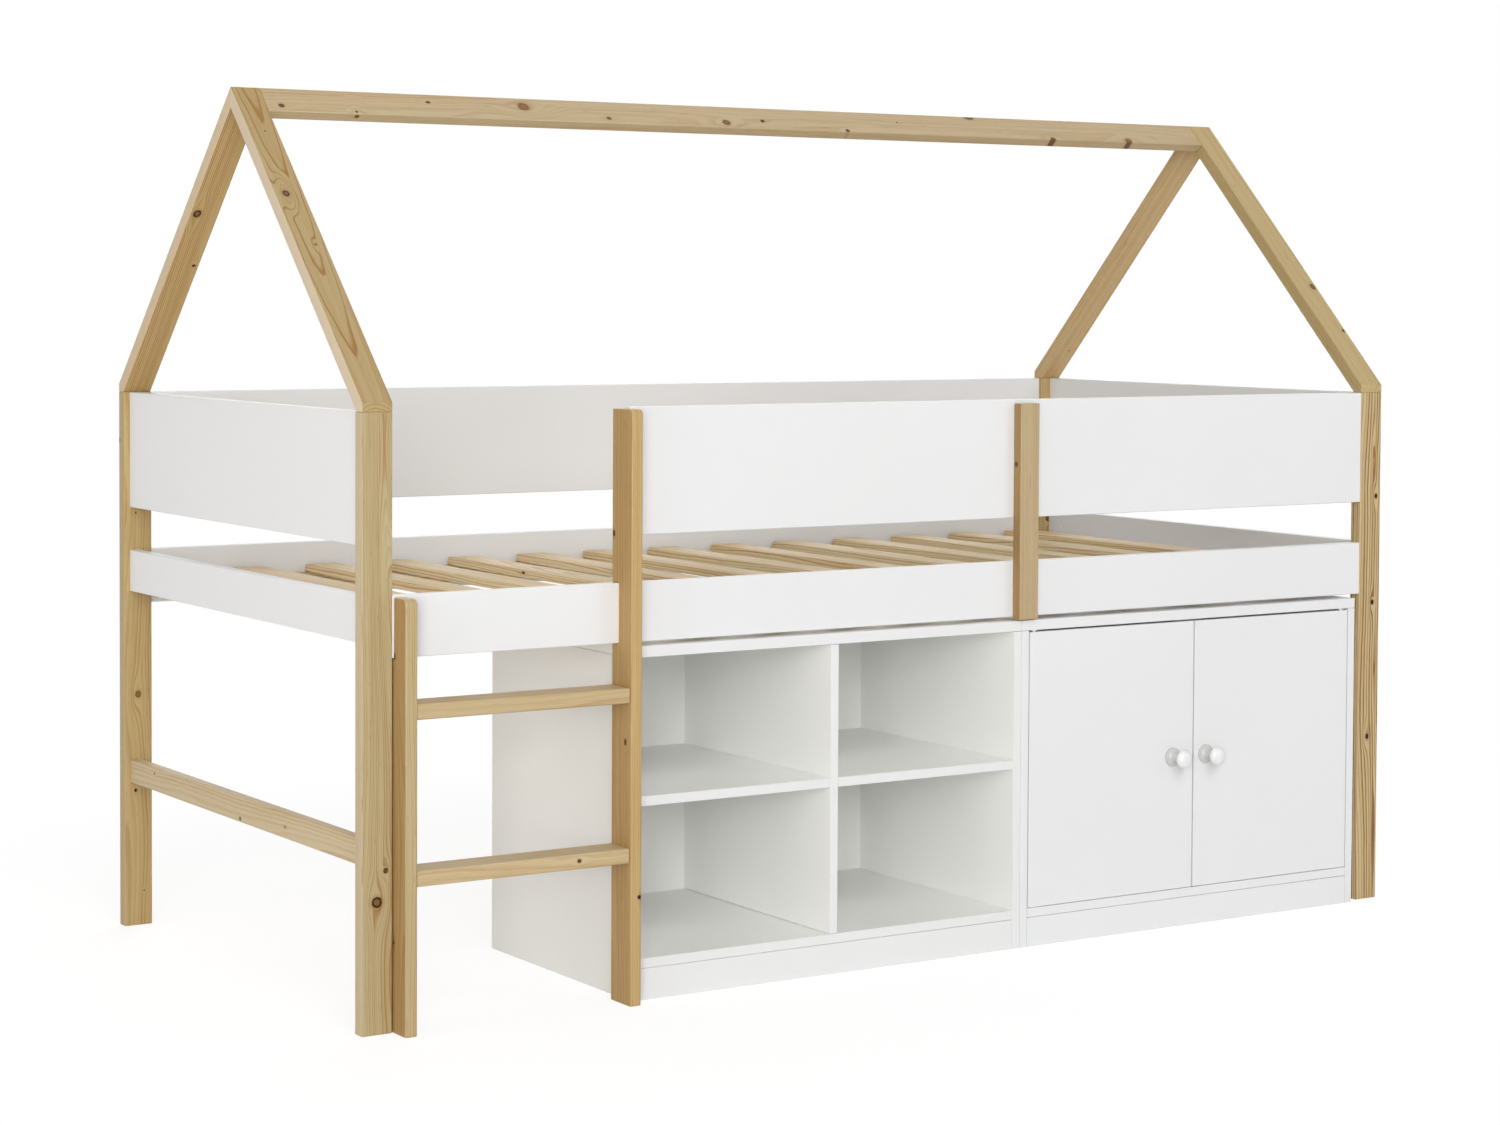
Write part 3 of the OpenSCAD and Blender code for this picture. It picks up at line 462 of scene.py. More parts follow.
fill(t, p_out, {"Colour": tint(t, calc(t, "MULTIPLY", rim, p_in["Rim"]), wood, BARK),
                "Roughness": calc(t, "SUBTRACT", gloss, fade(t, near, 0.8, 1.1, 0.10, 0.0)),
                "Height": calc(t, "ADD", relief, fade(t, near, 0.8, 1.1, 0.5, 0.0))})
print("pine group:", len(t.nodes), "nodes")

# %% [markdown]
# ## One pine finish for each board
#
# No two boards come from the same part of a tree, so every board gets its own
# material with the same group inside. The Mapping node turns the board's
# coordinates until the grain runs along z. A joiner would say which way the
# board runs: up, along the bed, from front to back, or up a rafter. Boards
# also differ in tone, and one colour factor for each, matched to the
# photograph, is the simplest way to say so. The knots are given by their place
# on the bed, as measured from the photograph where the board shows, and made
# up where it does not. Most branches run right through their board, and a
# knot that is BURIED stops inside it.

# %% Turns of the grain
QUARTER = math.pi / 2
GRAIN = {
    "up": (0, 0, 0),
    "along": (0, -QUARTER, 0),
    "ridge": (QUARTER - SLOPE, -QUARTER, 0),
    "depth": (QUARTER, 0, 0),
    "front rafter": (QUARTER - SLOPE, 0, 0),
    "back rafter": (SLOPE - QUARTER, 0, 0),
}
BURIED = 3
HONEY, BROWN = (0.400, 0.230, 0.080, 1), (0.250, 0.140, 0.050, 1)
print("grain can run", ", ".join(GRAIN))


# %% Pine for a board
def corners_of(node):
    """The lowest and the highest corner of a solid's box."""
    return [Vector(p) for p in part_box(node)]


def pine(node, run, pith, knots=(), ring=3.0, crooked=12, contrast=1.0, warmth=0.0, board=0.0, through=1,
         late=HONEY, late_from=0.35, painted_side_light=0.0, painted_side_shade=0.0, tone=(1, 1, 1)):
    """The pine of one board. pith is its offset from the board's middle in mm, across and through.
    A knot is (x, y, z, radius in mm, stretch along the grain, dark heart, dark rim, swell[, its axis]).
    The axis is the way the branch ran through the board, or BURIED. board is the number of its noise."""
    material, tree, shader, place = new_material("pine " + node.replace("_", " "))
    turned = Euler(GRAIN[run]).to_matrix()
    flow = {**FLOW, "Vector": add(tree, "Mapping", {"Vector": place, "Rotation": GRAIN[run]})[0]}
    for x, y, z, size, stretch, heart, rim, swell, *axis in knots:
        weights = [1 / (size * MM), 1 / (size * MM), 1 / (size * stretch * MM)]
        across = [1.0, 1.0, 0.0]
        branch = axis[0] if axis else through
        if branch != BURIED:
            weights[branch] = across[branch] = 0.0
        knot = add(tree, "Group", {
            **flow, "Centre": turned @ at(x, y, z), "Shape": weights, "Across": across, "This heart": heart,
            "This rim": rim, "This swell": swell}, node_tree=knot_group)
        flow = {label: knot[label] for label in flow}
    middle = sum(corners_of(node), Vector()) / 2
    timber = add(tree, "Group", {
        **flow, "Pith": turned @ middle + Vector((*pith, 0)) * MM, "Ring": ring * MM,
        "Crooked": crooked * MM, "Board": board, "Contrast": contrast, "Warmth": warmth, "Late colour": late,
        "Late from": late_from, "Painted light on sides": painted_side_light, "Painted shade on sides": painted_side_shade, "Tone": (*tone, 1)},
        node_tree=pine_group)
    shader.inputs["Specular IOR Level"].default_value = 0.22
    dress(tree, shader, timber, 0.22, 0.0004)
    return material


# %% [markdown]
# ## From a bmesh to a piece of the bed
#
# A piece is built in a bmesh, made an object, given its finish, and tied to
# the body that carries it. The solids it stands for are named, and hidden.

# %% Pieces
finished = []


def as_piece(mesh, name, material, slot, body, *nodes):
    """The bmesh as a finished piece that rides on a body."""
    data = settled(mesh, name)
    data.materials.append(material)
    piece = new_object(name, data)
    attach(piece, body)
    if nodes:
        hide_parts(*nodes)
    finished.append(name)
    return piece


def pine_piece(mesh, node, run, worked="planed_", **choice):
    """The bmesh as a pine board of the bed."""
    as_piece(mesh, worked + node, pine(node, run, **choice), "pine", "bed", node)


# %% [markdown]
# ## Eased boards
#
# No board leaves a workshop with sharp edges. A few strokes of sandpaper break
# them, and that small round is what catches the light and draws the outline
# of a board. `block` makes a block of the right size, and `ease` rounds its
# edges. The round strips are shaded smooth and the faces stay flat, so that
# the faces keep their even light.


# %% Blocks with eased edges
def ease(mesh, size, segments=3, edges=None):
    """Rounds the outward edges of a mesh and shades only the rounds smooth."""
    if edges is None:
        edges = [e for e in mesh.edges if e.is_convex and e.calc_face_angle(0) > 0.5]
    done = bmesh.ops.bevel(mesh, geom=edges, offset=size * MM, offset_type="OFFSET", segments=segments,
                           profile=0.5, affect="EDGES", clamp_overlap=True, material=-1)
    for face in done["faces"]:
        face.smooth = True
    return mesh


def block(low, high):
    """A block between two corners."""
    mesh = bmesh.new()
    bmesh.ops.create_cube(mesh, size=1.0)
    bmesh.ops.scale(mesh, vec=high - low, verts=mesh.verts)
    bmesh.ops.translate(mesh, vec=(low + high) / 2, verts=mesh.verts)
    return mesh


def new_corners(pushed):
    """The vertices that an extrusion made."""
    return [v for v in pushed["geom"] if isinstance(v, bmesh.types.BMVert)]


def slab(outline, start, width):
    """An outline of (y, z) in mm, drawn at x = start and extruded to the right."""
    mesh = bmesh.new()
    corners = [mesh.verts.new(at(start, y, z)) for y, z in outline]
    face = mesh.faces.new(corners)
    pushed = bmesh.ops.extrude_face_region(mesh, geom=[face])
    bmesh.ops.translate(mesh, vec=(width * MM, 0, 0), verts=new_corners(pushed))
    bmesh.ops.recalc_face_normals(mesh, faces=mesh.faces)
    return mesh


def solid_block(node):
    """A block of the size of a solid's box."""
    return block(*corners_of(node))


def gather(whole, part):
    """Adds one bmesh to a larger one."""
    carrier = settled(part, "carrier")
    whole.from_mesh(carrier)
    bpy.data.meshes.remove(carrier)


# %% [markdown]
# ## The corner posts
#
# The posts are 50 by 24 mm, planed on all sides. Most of their knots show in
# the photograph: a row of them up the back left post, one large round knot low
# on the front left post, and a few on the front right one, whose grain is bold.

# %% Posts
POSTS = {
    "post_front_left": dict(
        pith=(38, 46), ring=1.5, contrast=0.9, board=1.3, painted_side_light=0.35, tone=(0.89, 0.93, 0.97),
        knots=[(39, 0, 246.5, 3.4, 1.1, 0.35, 0.95, 0.8), (24.5, 0, 199.9, 7.6, 1.0, 0.15, 0.95, 1.0),
               (60, 0, 848, 8.0, 2.5, 0.0, 0.0, 12.0)]),
    "post_front_right": dict(
        pith=(-70, 50), ring=4.4, crooked=13, contrast=1.5, board=2.6, warmth=0.15, late=BROWN,
        tone=(1.07, 1.09, 1.14),
        knots=[(2049, 0, 742, 3.3, 1.3, 0.9, 0.9, 0.5), (2043, 0, 547, 3.4, 1.3, 0.95, 0.9, 0.8),
               (2033.7, 0, 300, 3.6, 1.25, 0.9, 0.9, 0.8), (2052, 0, 122, 2.8, 7.0, 0.0, 0.0, 0.0),
               (2043, 0, 823, 2.2, 6.0, 0.0, 0.0, 0.0), (2050, 0, 425, 2.0, 6.0, 0.0, 0.0, 0.0)]),
    "post_back_left": dict(
        pith=(-30, 60), contrast=0.8, board=3.9, warmth=0.45, painted_side_light=0.15, tone=(0.84, 0.85, 0.81),
        knots=[(0, 965.6, 848, 2.8, 1.4, 0.8, 0.8, 0.0, 0), (16, 944, 843, 2.8, 1.2, 0.9, 0.9, 0.5),
               (21, 944, 722, 1.2, 1.2, 0.9, 0.5, 0.0), (24.6, 944, 405, 5.2, 1.15, 0.1, 0.35, 1.2),
               (19.8, 944, 237, 2.2, 1.3, 0.9, 0.8, 0.8), (35, 944, 60, 1.1, 1.2, 0.9, 0.5, 0.0)]),
    "post_back_right": dict(
        pith=(55, -70), contrast=0.9, board=5.2, warmth=0.2,
        knots=[(2030, 968, 640, 5.0, 1.2, 0.2, 0.7, 1.0), (2044, 968, 310, 3.0, 1.3, 0.9, 0.8, 0.5)]),
}
for node, choice in POSTS.items():
    pine_piece(ease(solid_block(node), 1.5), node, "up", **choice)
print("posts:", len(POSTS))

# %% [markdown]
# ## Rafters
#
# A rafter is a board of the same size as the posts. Its foot is cut level, to
# sit on the post, with a small upright nose at the front, and its top is cut
# upright where it meets its partner. The outline is drawn from the side and
# pushed out to the width of the board, because every cut is square to that
# side. The back pair is the same outline, mirrored.

# %% Rafters
RAFTER_WIDTH, UPRIGHT, FOOT_BACK = 50, 34.2, 19.9
RAFTER = [(0, POST_TOP), (0, POST_TOP + NOSE), (DEPTH / 2, APEX_Z), (DEPTH / 2, APEX_Z - UPRIGHT),
          (FOOT_BACK, POST_TOP)]
RAFTERS = {
    "rafter_front_left": dict(
        pith=(-5, 50), ring=4.2, crooked=14, contrast=1.5, board=7.1, warmth=0.05, late_from=0.72,
        painted_side_light=0.8, tone=(0.83, 0.79, 0.70),
        knots=[(19, 312, 1262.5, 5.0, 1.2, 0.15, 0.95, 3.4), (27.9, 411.7, 1363.6, 1.3, 1.2, 0.8, 0.5, 0.0),
               (33, 233, 1182.5, 2.2, 1.2, 0.0, 0.35, 0.5)]),
    "rafter_front_right": dict(
        pith=(60, 60), ring=3.8, crooked=8, contrast=0.8, board=8.4, late_from=0.5, painted_side_shade=0.3,
        tone=(0.97, 0.95, 0.86),
        knots=[(2051, 176.6, 1125, 5.0, 1.3, 0.15, 0.6, 1.2), (2054, 96.3, 1043.7, 2.4, 1.6, 0.9, 0.8, 0.4)]),
    "rafter_back_left": dict(
        pith=(-60, 45), ring=2.2, crooked=3, contrast=0.8, board=9.7, warmth=0.45, late=BROWN,
        painted_side_light=0.6, tone=(1.00, 0.95, 0.85),
        knots=[(12, 648.5, 1235.9, 6.0, 1.2, 0.1, 1.0, 0.4), (40.8, 732.6, 1150.6, 3.0, 0.8, 0.9, 0.8, 0.4)]),
    "rafter_back_right": dict(
        pith=(90, 50), ring=3.2, crooked=8, contrast=0.6, board=11.3, warmth=0.3, tone=(1.18, 1.16, 1.20),
        knots=[(2040, 890.7, 990.2, 1.5, 1.2, 0.8, 0.5, 0.0)]),
}
for node, choice in RAFTERS.items():
    start = 0 if "left" in node else LENGTH - RAFTER_WIDTH
    outline, run = RAFTER, "front rafter"
    if "back" in node:
        outline, run = [(DEPTH - y, z) for y, z in RAFTER], "back rafter"
    pine_piece(ease(slab(outline, start, RAFTER_WIDTH), 1.2), node, run, **choice)
print("rafters:", len(RAFTERS))

# %% [markdown]
# ## The ridge beam
#
# The ridge beam lies flat in the front slope of the roof, between the two
# pairs of rafters. It is an 18 mm board of 54 mm, turned to the slope. It is
# made flat and square first, then turned and moved to the apex, which is how
# the joiner would fit it. It has many knots, placed as the photograph shows.

# %% Ridge beam
HALF_BEAM = Vector((979.6, 27, 9)) * MM
beam = ease(block(-HALF_BEAM, HALF_BEAM), 1.5)
bmesh.ops.rotate(beam, cent=(0, 0, 0), matrix=Matrix.Rotation(SLOPE, 3, "X"), verts=beam.verts)
down = Vector((0, -math.cos(SLOPE), -math.sin(SLOPE))) * HALF_BEAM.y
inward = Vector((0, math.sin(SLOPE), -math.cos(SLOPE))) * HALF_BEAM.z
bmesh.ops.translate(beam, vec=at(LENGTH / 2, DEPTH / 2, APEX_Z) + down + inward, verts=beam.verts)
beam_knots = [
    (76, 455, 1408, 3.8, 1.2, 0.45, 0.9, 0.8), (206.3, 449.3, 1401.8, 1.8, 1.2, 0.9, 0.9, 0.2),
    (207, 450.5, 1394.2, 3.0, 1.1, 0.3, 0.8, 0.3, 0), (346.4, 470.4, 1423.2, 2.6, 1.4, 0.7, 0.8, 0.3),
    (525.4, 469.3, 1422.1, 9.0, 1.15, 0.0, 0.30, 2.2), (684.3, 454.6, 1407.2, 3.1, 1.2, 0.25, 0.9, 0.8),
    (922.8, 455.1, 1407.7, 6.2, 1.2, 0.15, 0.55, 1.4), (1001.6, 460.4, 1413.1, 3.0, 1.3, 1.0, 0.9, 0.5),
    (1176.6, 449, 1401, 3.0, 1.2, 0.9, 0.9, 0.3), (1298.4, 467.5, 1420.3, 1.5, 1.2, 0.7, 0.4, 0.3),
    (1471.4, 482, 1435, 5.0, 2.0, 0.2, 0.45, 0.5), (1643.6, 446.5, 1399, 4.6, 1.2, 0.3, 0.75, 0.6),
    (1827.7, 449, 1401.5, 5.8, 1.3, 0.1, 0.45, 1.0)]
pine_piece(beam, "ridge_beam", "ridge", pith=(24, 60), knots=beam_knots, ring=3.4, crooked=8,
           contrast=0.55, board=13.1, tone=(0.98, 0.98, 1.08))
print("ridge knots:", len(beam_knots))

# %% [markdown]
# ## Ladder stiles
#
# Each stile stands 40 mm proud of the bed and is cut back where the side rail
# passes behind it. Its front top corner is a large round, and its long edges
# are well rounded too, because hands slide along them. The notched outline is
# extruded, then the one corner gets its large round, and last all outward
# edges get the small one.

# %% Stiles
PROUD, STILE_WIDTH, STILE_BACK = 40, 20, 20
RAIL_LOW, RAIL_HIGH = 563.9, 658.1
STILES = {
    "ladder_stile_short": (52, 655, 10, dict(
        pith=(60, -25), crooked=7, contrast=0.8, board=15.5, warmth=0.1, through=0, painted_side_shade=0.9,
        tone=(0.95, 0.99, 1.05),
        knots=[(52, -2.5, 567, 3.0, 1.4, 0.9, 0.9, 0.3), (52, -1.4, 137, 1.9, 1.2, 0.9, 0.8, 0.3)])),
    "ladder_stile_long": (440, 930, 7.5, dict(
        pith=(70, 30), ring=3.2, crooked=7, contrast=0.45, board=16.8, warmth=0.25, through=0, painted_side_shade=0.45,
        tone=(0.99, 0.93, 0.82),
        knots=[(440, 14, 735, 2.8, 1.7, 0.85, 0.9, 0.3), (440, -22.7, 412, 3.0, 1.5, 0.8, 0.9, 0.4),
               (456.6, -40, 170.6, 3.4, 0.85, 1.0, 0.9, 0.2, 1)])),
}
for node, (start, stile_top, corner, choice) in STILES.items():
    outline = [(-PROUD, stile_top), (-PROUD, 0), (STILE_BACK, 0), (STILE_BACK, RAIL_LOW), (0, RAIL_LOW)]
    if stile_top > RAIL_HIGH:
        outline += [(0, RAIL_HIGH), (STILE_BACK, RAIL_HIGH), (STILE_BACK, stile_top)]
    else:
        outline.append((0, stile_top))
    stile = slab(outline, start, STILE_WIDTH)
    crown_y, crown_z = at(0, -PROUD, 0).y, stile_top * MM
    crown = [e for e in stile.edges
             if all(abs(v.co.y - crown_y) < 1e-5 and abs(v.co.z - crown_z) < 1e-5 for v in e.verts)]
    ease(stile, corner, 8, crown)
    ease(stile, 2.0, 3, [e for e in stile.edges if e.is_convex and e.calc_face_angle(0) > 0.8])
    pine_piece(stile, node, "up", "rounded_", **choice)
print("stiles:", len(STILES))

# %% [markdown]
# ## Rungs, guard post, stretchers and battens
#
# These are all plain boards with eased edges, so they share one loop. Each
# says which way its grain runs, how far it is rounded, and where its knots
# are. The battens along the side rails carry the slats and are hardly seen.

# %% Plain pine boards
PLAIN = {
    "ladder_rung_lower": ("along", 2.5, dict(
        pith=(-20, 70), crooked=6, contrast=0.4, board=18.1, tone=(1.06, 1.06, 1.14),
        knots=[(350, -38, 237, 2.7, 1.2, 0.5, 0.9, 0.3)])),
    "ladder_rung_upper": ("along", 2.5, dict(
        pith=(30, 70), crooked=6, contrast=0.4, board=19.4, tone=(1.00, 0.99, 1.05))),
    "guard_post": ("up", 2.0, dict(
        pith=(-70, 35), crooked=8, contrast=0.4, board=20.7, painted_side_shade=1.0, tone=(0.91, 0.91, 0.98),
        knots=[(1212, -8, 823, 3.4, 1.0, 0.5, 0.8, 0.3, 0)])),
    "stretcher_left": ("depth", 1.5, dict(
        pith=(60, 30), crooked=6, contrast=0.6, board=22.2, through=0, tone=(1.10, 1.14, 1.32),
        knots=[(10, 834, 281.7, 1.8, 1.2, 0.5, 0.7, 0.2), (10, 471, 257.8, 2.8, 1.1, 0.6, 0.8, 0.3),
               (10, 296.7, 270, 1.8, 1.2, 0.4, 0.7, 0.2)])),
    "stretcher_right": ("depth", 1.5, dict(
        pith=(-60, 30), crooked=6, contrast=0.6, board=23.5, through=0,
        knots=[(2050, 620, 275, 2.6, 1.2, 0.5, 0.8, 0.4)])),
    "slat_batten_front": ("along", 1.0, dict(
        pith=(30, 60), ring=3.2, board=24.8, knots=[(700, 30, 600, 3, 1.2, 0.5, 0.8, 0.4)])),
    "slat_batten_back": ("along", 1.0, dict(
        pith=(40, 50), ring=3.2, board=26.1, knots=[(1320, 940, 600, 3, 1.2, 0.5, 0.8, 0.4)])),
}
for node, (run, round_off, choice) in PLAIN.items():
    pine_piece(ease(solid_block(node), round_off), node, run, **choice)
print("plain boards:", len(PLAIN))

# %% [markdown]
# ## The slats
#
# Fourteen thin boards carry the mattress. They are one piece here, because
# they are alike and stay together. Each face keeps a number that says which
# slat it belongs to, in an attribute of the mesh. The material reads it to
# give each slat a pith and a noise of its own, so that no two look the same.

# %% Slats
SLATS, PITCH = 14, 143
FIRST_SLAT, SLAT_WIDTH, SLAT_LOW, SLAT_TOP = 56, 60, 604, 619
SLAT_FRONT, SLAT_BACK = 26, 942
slats = bmesh.new()
number = slats.faces.layers.float.new("slat")
for i in range(SLATS):
    left = FIRST_SLAT + PITCH * i
    one = block(at(left, SLAT_FRONT, SLAT_LOW), at(left + SLAT_WIDTH, SLAT_BACK, SLAT_TOP))
    long_edges = [e for e in one.edges if abs(e.verts[0].co.y - e.verts[1].co.y) > 0.5]
    ease(one, 3.0, 4, long_edges)
    ease(one, 0.8, 2, [e for e in one.edges if e.is_convex and e.calc_face_angle(0) > 1.2])
    before = len(slats.faces)
    gather(slats, one)
    slats.faces.ensure_lookup_table()
    for face in slats.faces[before:]:
        face[number] = i + 1
print("slats:", SLATS)

# %% Pine of the slats
BOARD, BOARD_STEP, PITH_HEIGHT = 27.4, 1.37, 660
slat_pine = pine(
    "slats", "depth", (0, -45),
    [(628, 652.9, 613, 1.9, 2.6, 0.95, 0.9, 0.0, BURIED), (755.5, 704.6, 619, 1.4, 1.5, 0.7, 0.6, 0.0)],
    ring=4.2, crooked=10, contrast=1.2, board=BOARD, tone=(1.47, 1.55, 1.78))
net = slat_pine.node_tree
timber = next(n for n in net.nodes if n.type == "GROUP" and n.node_tree == pine_group)
which = add(net, "Attribute", attribute_name="slat")["Fac"]
before_first = at(FIRST_SLAT + SLAT_WIDTH / 2 - PITCH, 0, 0).x
own_pith = add(net, "CombineXYZ", {
    "X": calc(net, "MULTIPLY_ADD", which, PITCH * MM, before_first), "Y": -PITH_HEIGHT * MM})[0]
swing = add(net, "TexWhiteNoise", {"W": which}, noise_dimensions="1D")["Color"]
swing = shift(net, "MULTIPLY", shift(net, "SUBTRACT", swing, (0.5, 0.5, 0.5)), (0.12, 0.05, 0.0))
fill(net, timber, {"Board": calc(net, "MULTIPLY_ADD", which, BOARD_STEP, BOARD),
                   "Pith": shift(net, "ADD", own_pith, swing)})
as_piece(slats, "planed_slats", slat_pine, "pine", "bed", "slats")

# %% [markdown]
# ## White boards
#
# The rails, the guard boards and both storage units are white. The coat is
# smooth but not a mirror: it has a satin sheen, the very faint orange peel of
# a sprayed coat, and tones that drift by about one part in a hundred. That is
# the same on all of them, so it is a group. The four whites below use it, and
# so does the paint of the knobs. The open unit and its left side get a
# brighter white than the other boards, as painted light in its dim bays and on
# the side under the bed. Its front edges keep a plain white like the rails.
# Those edges all lie in the front plane of the unit, so the material tells
# them by their depth.
#
# The boards of the units are drawn in by a hair, so that their joints show as
# fine lines. The doors hang a little lower than their solids, so that the gap
# at their foot is as fine as in the photograph.

# %% White lacquer
coat_group, c_in, c_out = new_group(
    "sprayed coat", {"Vector": None, "White": (0.86, 0.86, 0.86, 1), "Sheen level": 0.40}, FINISH)
t = coat_group
drift = speckle(t, c_in["Vector"], 2.6, 3.0)
cloud = speckle(t, c_in["Vector"], 38.0, 2.0)
peel = speckle(t, c_in["Vector"], 620.0, 1.0)
tone = tint(t, fade(t, drift, 0.3, 0.7), c_in["White"], (0.985, 0.985, 0.980, 1), "MULTIPLY")
cloudy = calc(t, "MULTIPLY_ADD", cloud, 0.10, -0.05)
fill(t, c_out, {"Colour": tone, "Roughness": calc(t, "ADD", cloudy, c_in["Sheen level"]), "Height": peel})

UNIT_FRONT = corners_of("shelf_unit_top")[0].y
FRONT_EDGE_WHITE = (0.780, 0.780, 0.778, 1)


def lacquer(name, white, sheen, front_edge=None):
    """A white coat. front_edge is the plain white of the front edges, if the faces have a brighter one."""
    material, tree, shader, place = new_material(name)
    if front_edge:
        depth = add(tree, "SeparateXYZ", {"Vector": place})["Y"]
        white = tint(tree, fade(tree, depth, UNIT_FRONT + 0.4 * MM, UNIT_FRONT + 0.6 * MM), front_edge, white)
    coat = add(tree, "Group", {"Vector": place, "White": white, "Sheen level": sheen},
               node_tree=coat_group)
    dress(tree, shader, coat, 0.10, 0.0002)
    return material


# The open unit and its left side get a brighter white than the rails and doors: painted light for the dim
# bays and for the side under the bed.
rail_white = lacquer("white lacquer of the rails", (0.780, 0.780, 0.783, 1), 0.42)
unit_white_with_painted_light = lacquer("white coat of the open unit, brightened as painted light", (0.940, 0.940, 0.915, 1), 0.46, FRONT_EDGE_WHITE)
side_white_with_painted_light = lacquer("white coat of its left side, brightened as painted light", (0.865, 0.860, 0.835, 1), 0.46, FRONT_EDGE_WHITE)
door_white = lacquer("white lacquer of the doors", (0.780, 0.782, 0.787, 1), 0.44)
print("white coats:", [coat.name for coat in (rail_white, unit_white_with_painted_light, side_white_with_painted_light, door_white)])

# %% Rails, guard boards, storage units and doors
HAIR = Vector((0.3, 0, 0.3)) * MM
DOOR_DROP = Vector((0, 0, 1.3)) * MM
RAILS = ["side_rail_front", "side_rail_back", "end_rail_left", "end_rail_right"]
RAILS += ["guard_board_" + side_name for side_name in ("front", "back", "left", "right")]
PANELS = ["top", "side_left", "side_right", "bottom", "plinth", "back"]
UNITS = ["shelf_unit_" + panel for panel in PANELS + ["divider"]] + ["shelf_left", "shelf_right"]
UNITS += ["cupboard_" + panel for panel in PANELS + ["shelf"]]
for node in RAILS:
    as_piece(ease(solid_block(node), 1.5), "lacquered_" + node, rail_white, "white_board", "bed", node)
for node in UNITS:
    low, high = corners_of(node)
    low, high = low + HAIR, high - HAIR
    low.z = low.z if low.z > MM else 0
    white = unit_white_with_painted_light if "shel" in node else door_white
    white = side_white_with_painted_light if node == "shelf_unit_side_left" else white
    as_piece(ease(block(low, high), 0.6, 2), "coated_" + node, white, "white_board", "bed", node)
for node in ("door_left", "door_right"):
    low, high = corners_of(node)
    door = ease(block(low - DOOR_DROP, high), 0.6, 2)
    as_piece(door, "coated_" + node, door_white, "white_board", node, node)
print("white boards:", len(RAILS) + len(UNITS) + 2)

# %% [markdown]
# ## The knobs
#
# A knob is turned on a lathe: a thin round foot against the door, a hollow
# flare down to the neck, and a flattened ball. A lathe is exactly what the
# spin operator is, so half of the outline is drawn and spun once round. Turned
# wood with white gloss paint keeps small bright highlights, which the coat
# layer of the shader gives. The colour is greyer in the hollow and on the
# foot, as painted shade for the shade that falls there under the ball.

# %% Gloss paint
DOOR_FRONT, DOOR_INSIDE = -10, 6
UNSHADED_REACH, SHADE_REACH = 26, 17
gloss_white, net, shader, place = new_material("white gloss of the knobs")
# Towards the door the colour turns greyer: painted shade on the foot and in the hollow, where the ball shades
# them.
depth = add(net, "SeparateXYZ", {0: place})["Y"]
painted_hollow_shade = fade(net, depth, at(0, DOOR_FRONT - UNSHADED_REACH, 0).y, at(0, DOOR_FRONT - SHADE_REACH, 0).y)
paint_and_painted_shade = tint(net, painted_hollow_shade, (0.79, 0.79, 0.795, 1), (0.54, 0.54, 0.535, 1))
coat = add(net, "Group", {"Vector": place, "White": paint_and_painted_shade, "Sheen level": 0.24}, node_tree=coat_group)
dress(net, shader, coat, 0.06, 0.0001)
fill(net, shader, {"Coat Weight": 0.4, "Coat Roughness": 0.06})
print("knob paint:", gloss_white.name)


# %% Knobs
def arc(centre, radius, start, end, steps):
    """Points on part of a circle, in the plane of a lathe outline."""
    for i in range(steps + 1):
        a = math.radians(start + (end - start) * i / steps)
        yield centre[0] + radius * math.cos(a), centre[1] + radius * math.sin(a)


def turned_piece(outline, centre, steps=48):
    """An outline of (radius, reach) in mm, spun round an axis that points to the front."""
    mesh = bmesh.new()
    dots = [mesh.verts.new(centre + Vector((r * MM, -reach * MM, 0))) for r, reach in outline]
    lines = [mesh.edges.new(pair) for pair in zip(dots, dots[1:])]
    bmesh.ops.spin(mesh, geom=dots + lines, cent=centre, axis=(0, 1, 0), angle=math.tau, steps=steps,
                   use_merge=True)
    bmesh.ops.remove_doubles(mesh, verts=mesh.verts, dist=1e-6)
    bmesh.ops.recalc_face_normals(mesh, faces=mesh.faces)
    for face in mesh.faces:
        face.smooth = True
    return mesh


KNOB_X, KNOB_Z = {"left": 1560, "right": 1636}, 300
FOOT, FOOT_EDGE, FOOT_THICK, HOLLOW = 16.5, 1.0, 3.0, 8.0
CAP, CAP_HALF, REACH, NECK_END = 16, 10, 42, 20
rim = FOOT - FOOT_EDGE
outline = [(0, 0), (FOOT, 0), *arc((rim, FOOT_THICK - FOOT_EDGE), FOOT_EDGE, 0, 90, 4),
           *arc((rim, FOOT_THICK + HOLLOW), HOLLOW, 270, 180, 8), (rim - HOLLOW, NECK_END)]
outline += [(CAP * x, REACH - CAP_HALF + CAP_HALF * y) for x, y in arc((0, 0), 1.0, -62, 90, 20)]
for side_name, x in KNOB_X.items():
    knob = turned_piece(outline, at(x, DOOR_FRONT, KNOB_Z))
    as_piece(knob, "turned_knob_" + side_name, gloss_white, "knob", "door_" + side_name, "knob_" + side_name)
print("knobs reach", REACH, "mm")

# %% [markdown]
# ## Metal, plastic and beech
#
# Screws and pins are steel, bright and lightly brushed. The cam locks are cast
# in zinc, which is duller and mottled. The door bushes and the catch are matt
# white plastic, and the dowels are beech. Each gets its own small network.


# %% Metal
def metal(name, colour, rough, stretch, strength):
    """A metal whose sheen varies with a drawn-out noise."""
    material, tree, shader, place = new_material(name)
    grain = speckle(tree, shift(tree, "MULTIPLY", place, stretch), 1.0, 3.0)
    shade = tint(tree, grain, colour, (*(0.8 * c for c in colour[:3]), 1))
    dress(tree, shader, {"Colour": shade, "Roughness": calc(tree, "MULTIPLY_ADD", grain, 0.25, rough),
                         "Height": grain}, strength, 0.0002)
    shader.inputs["Metallic"].default_value = 1.0
    return material


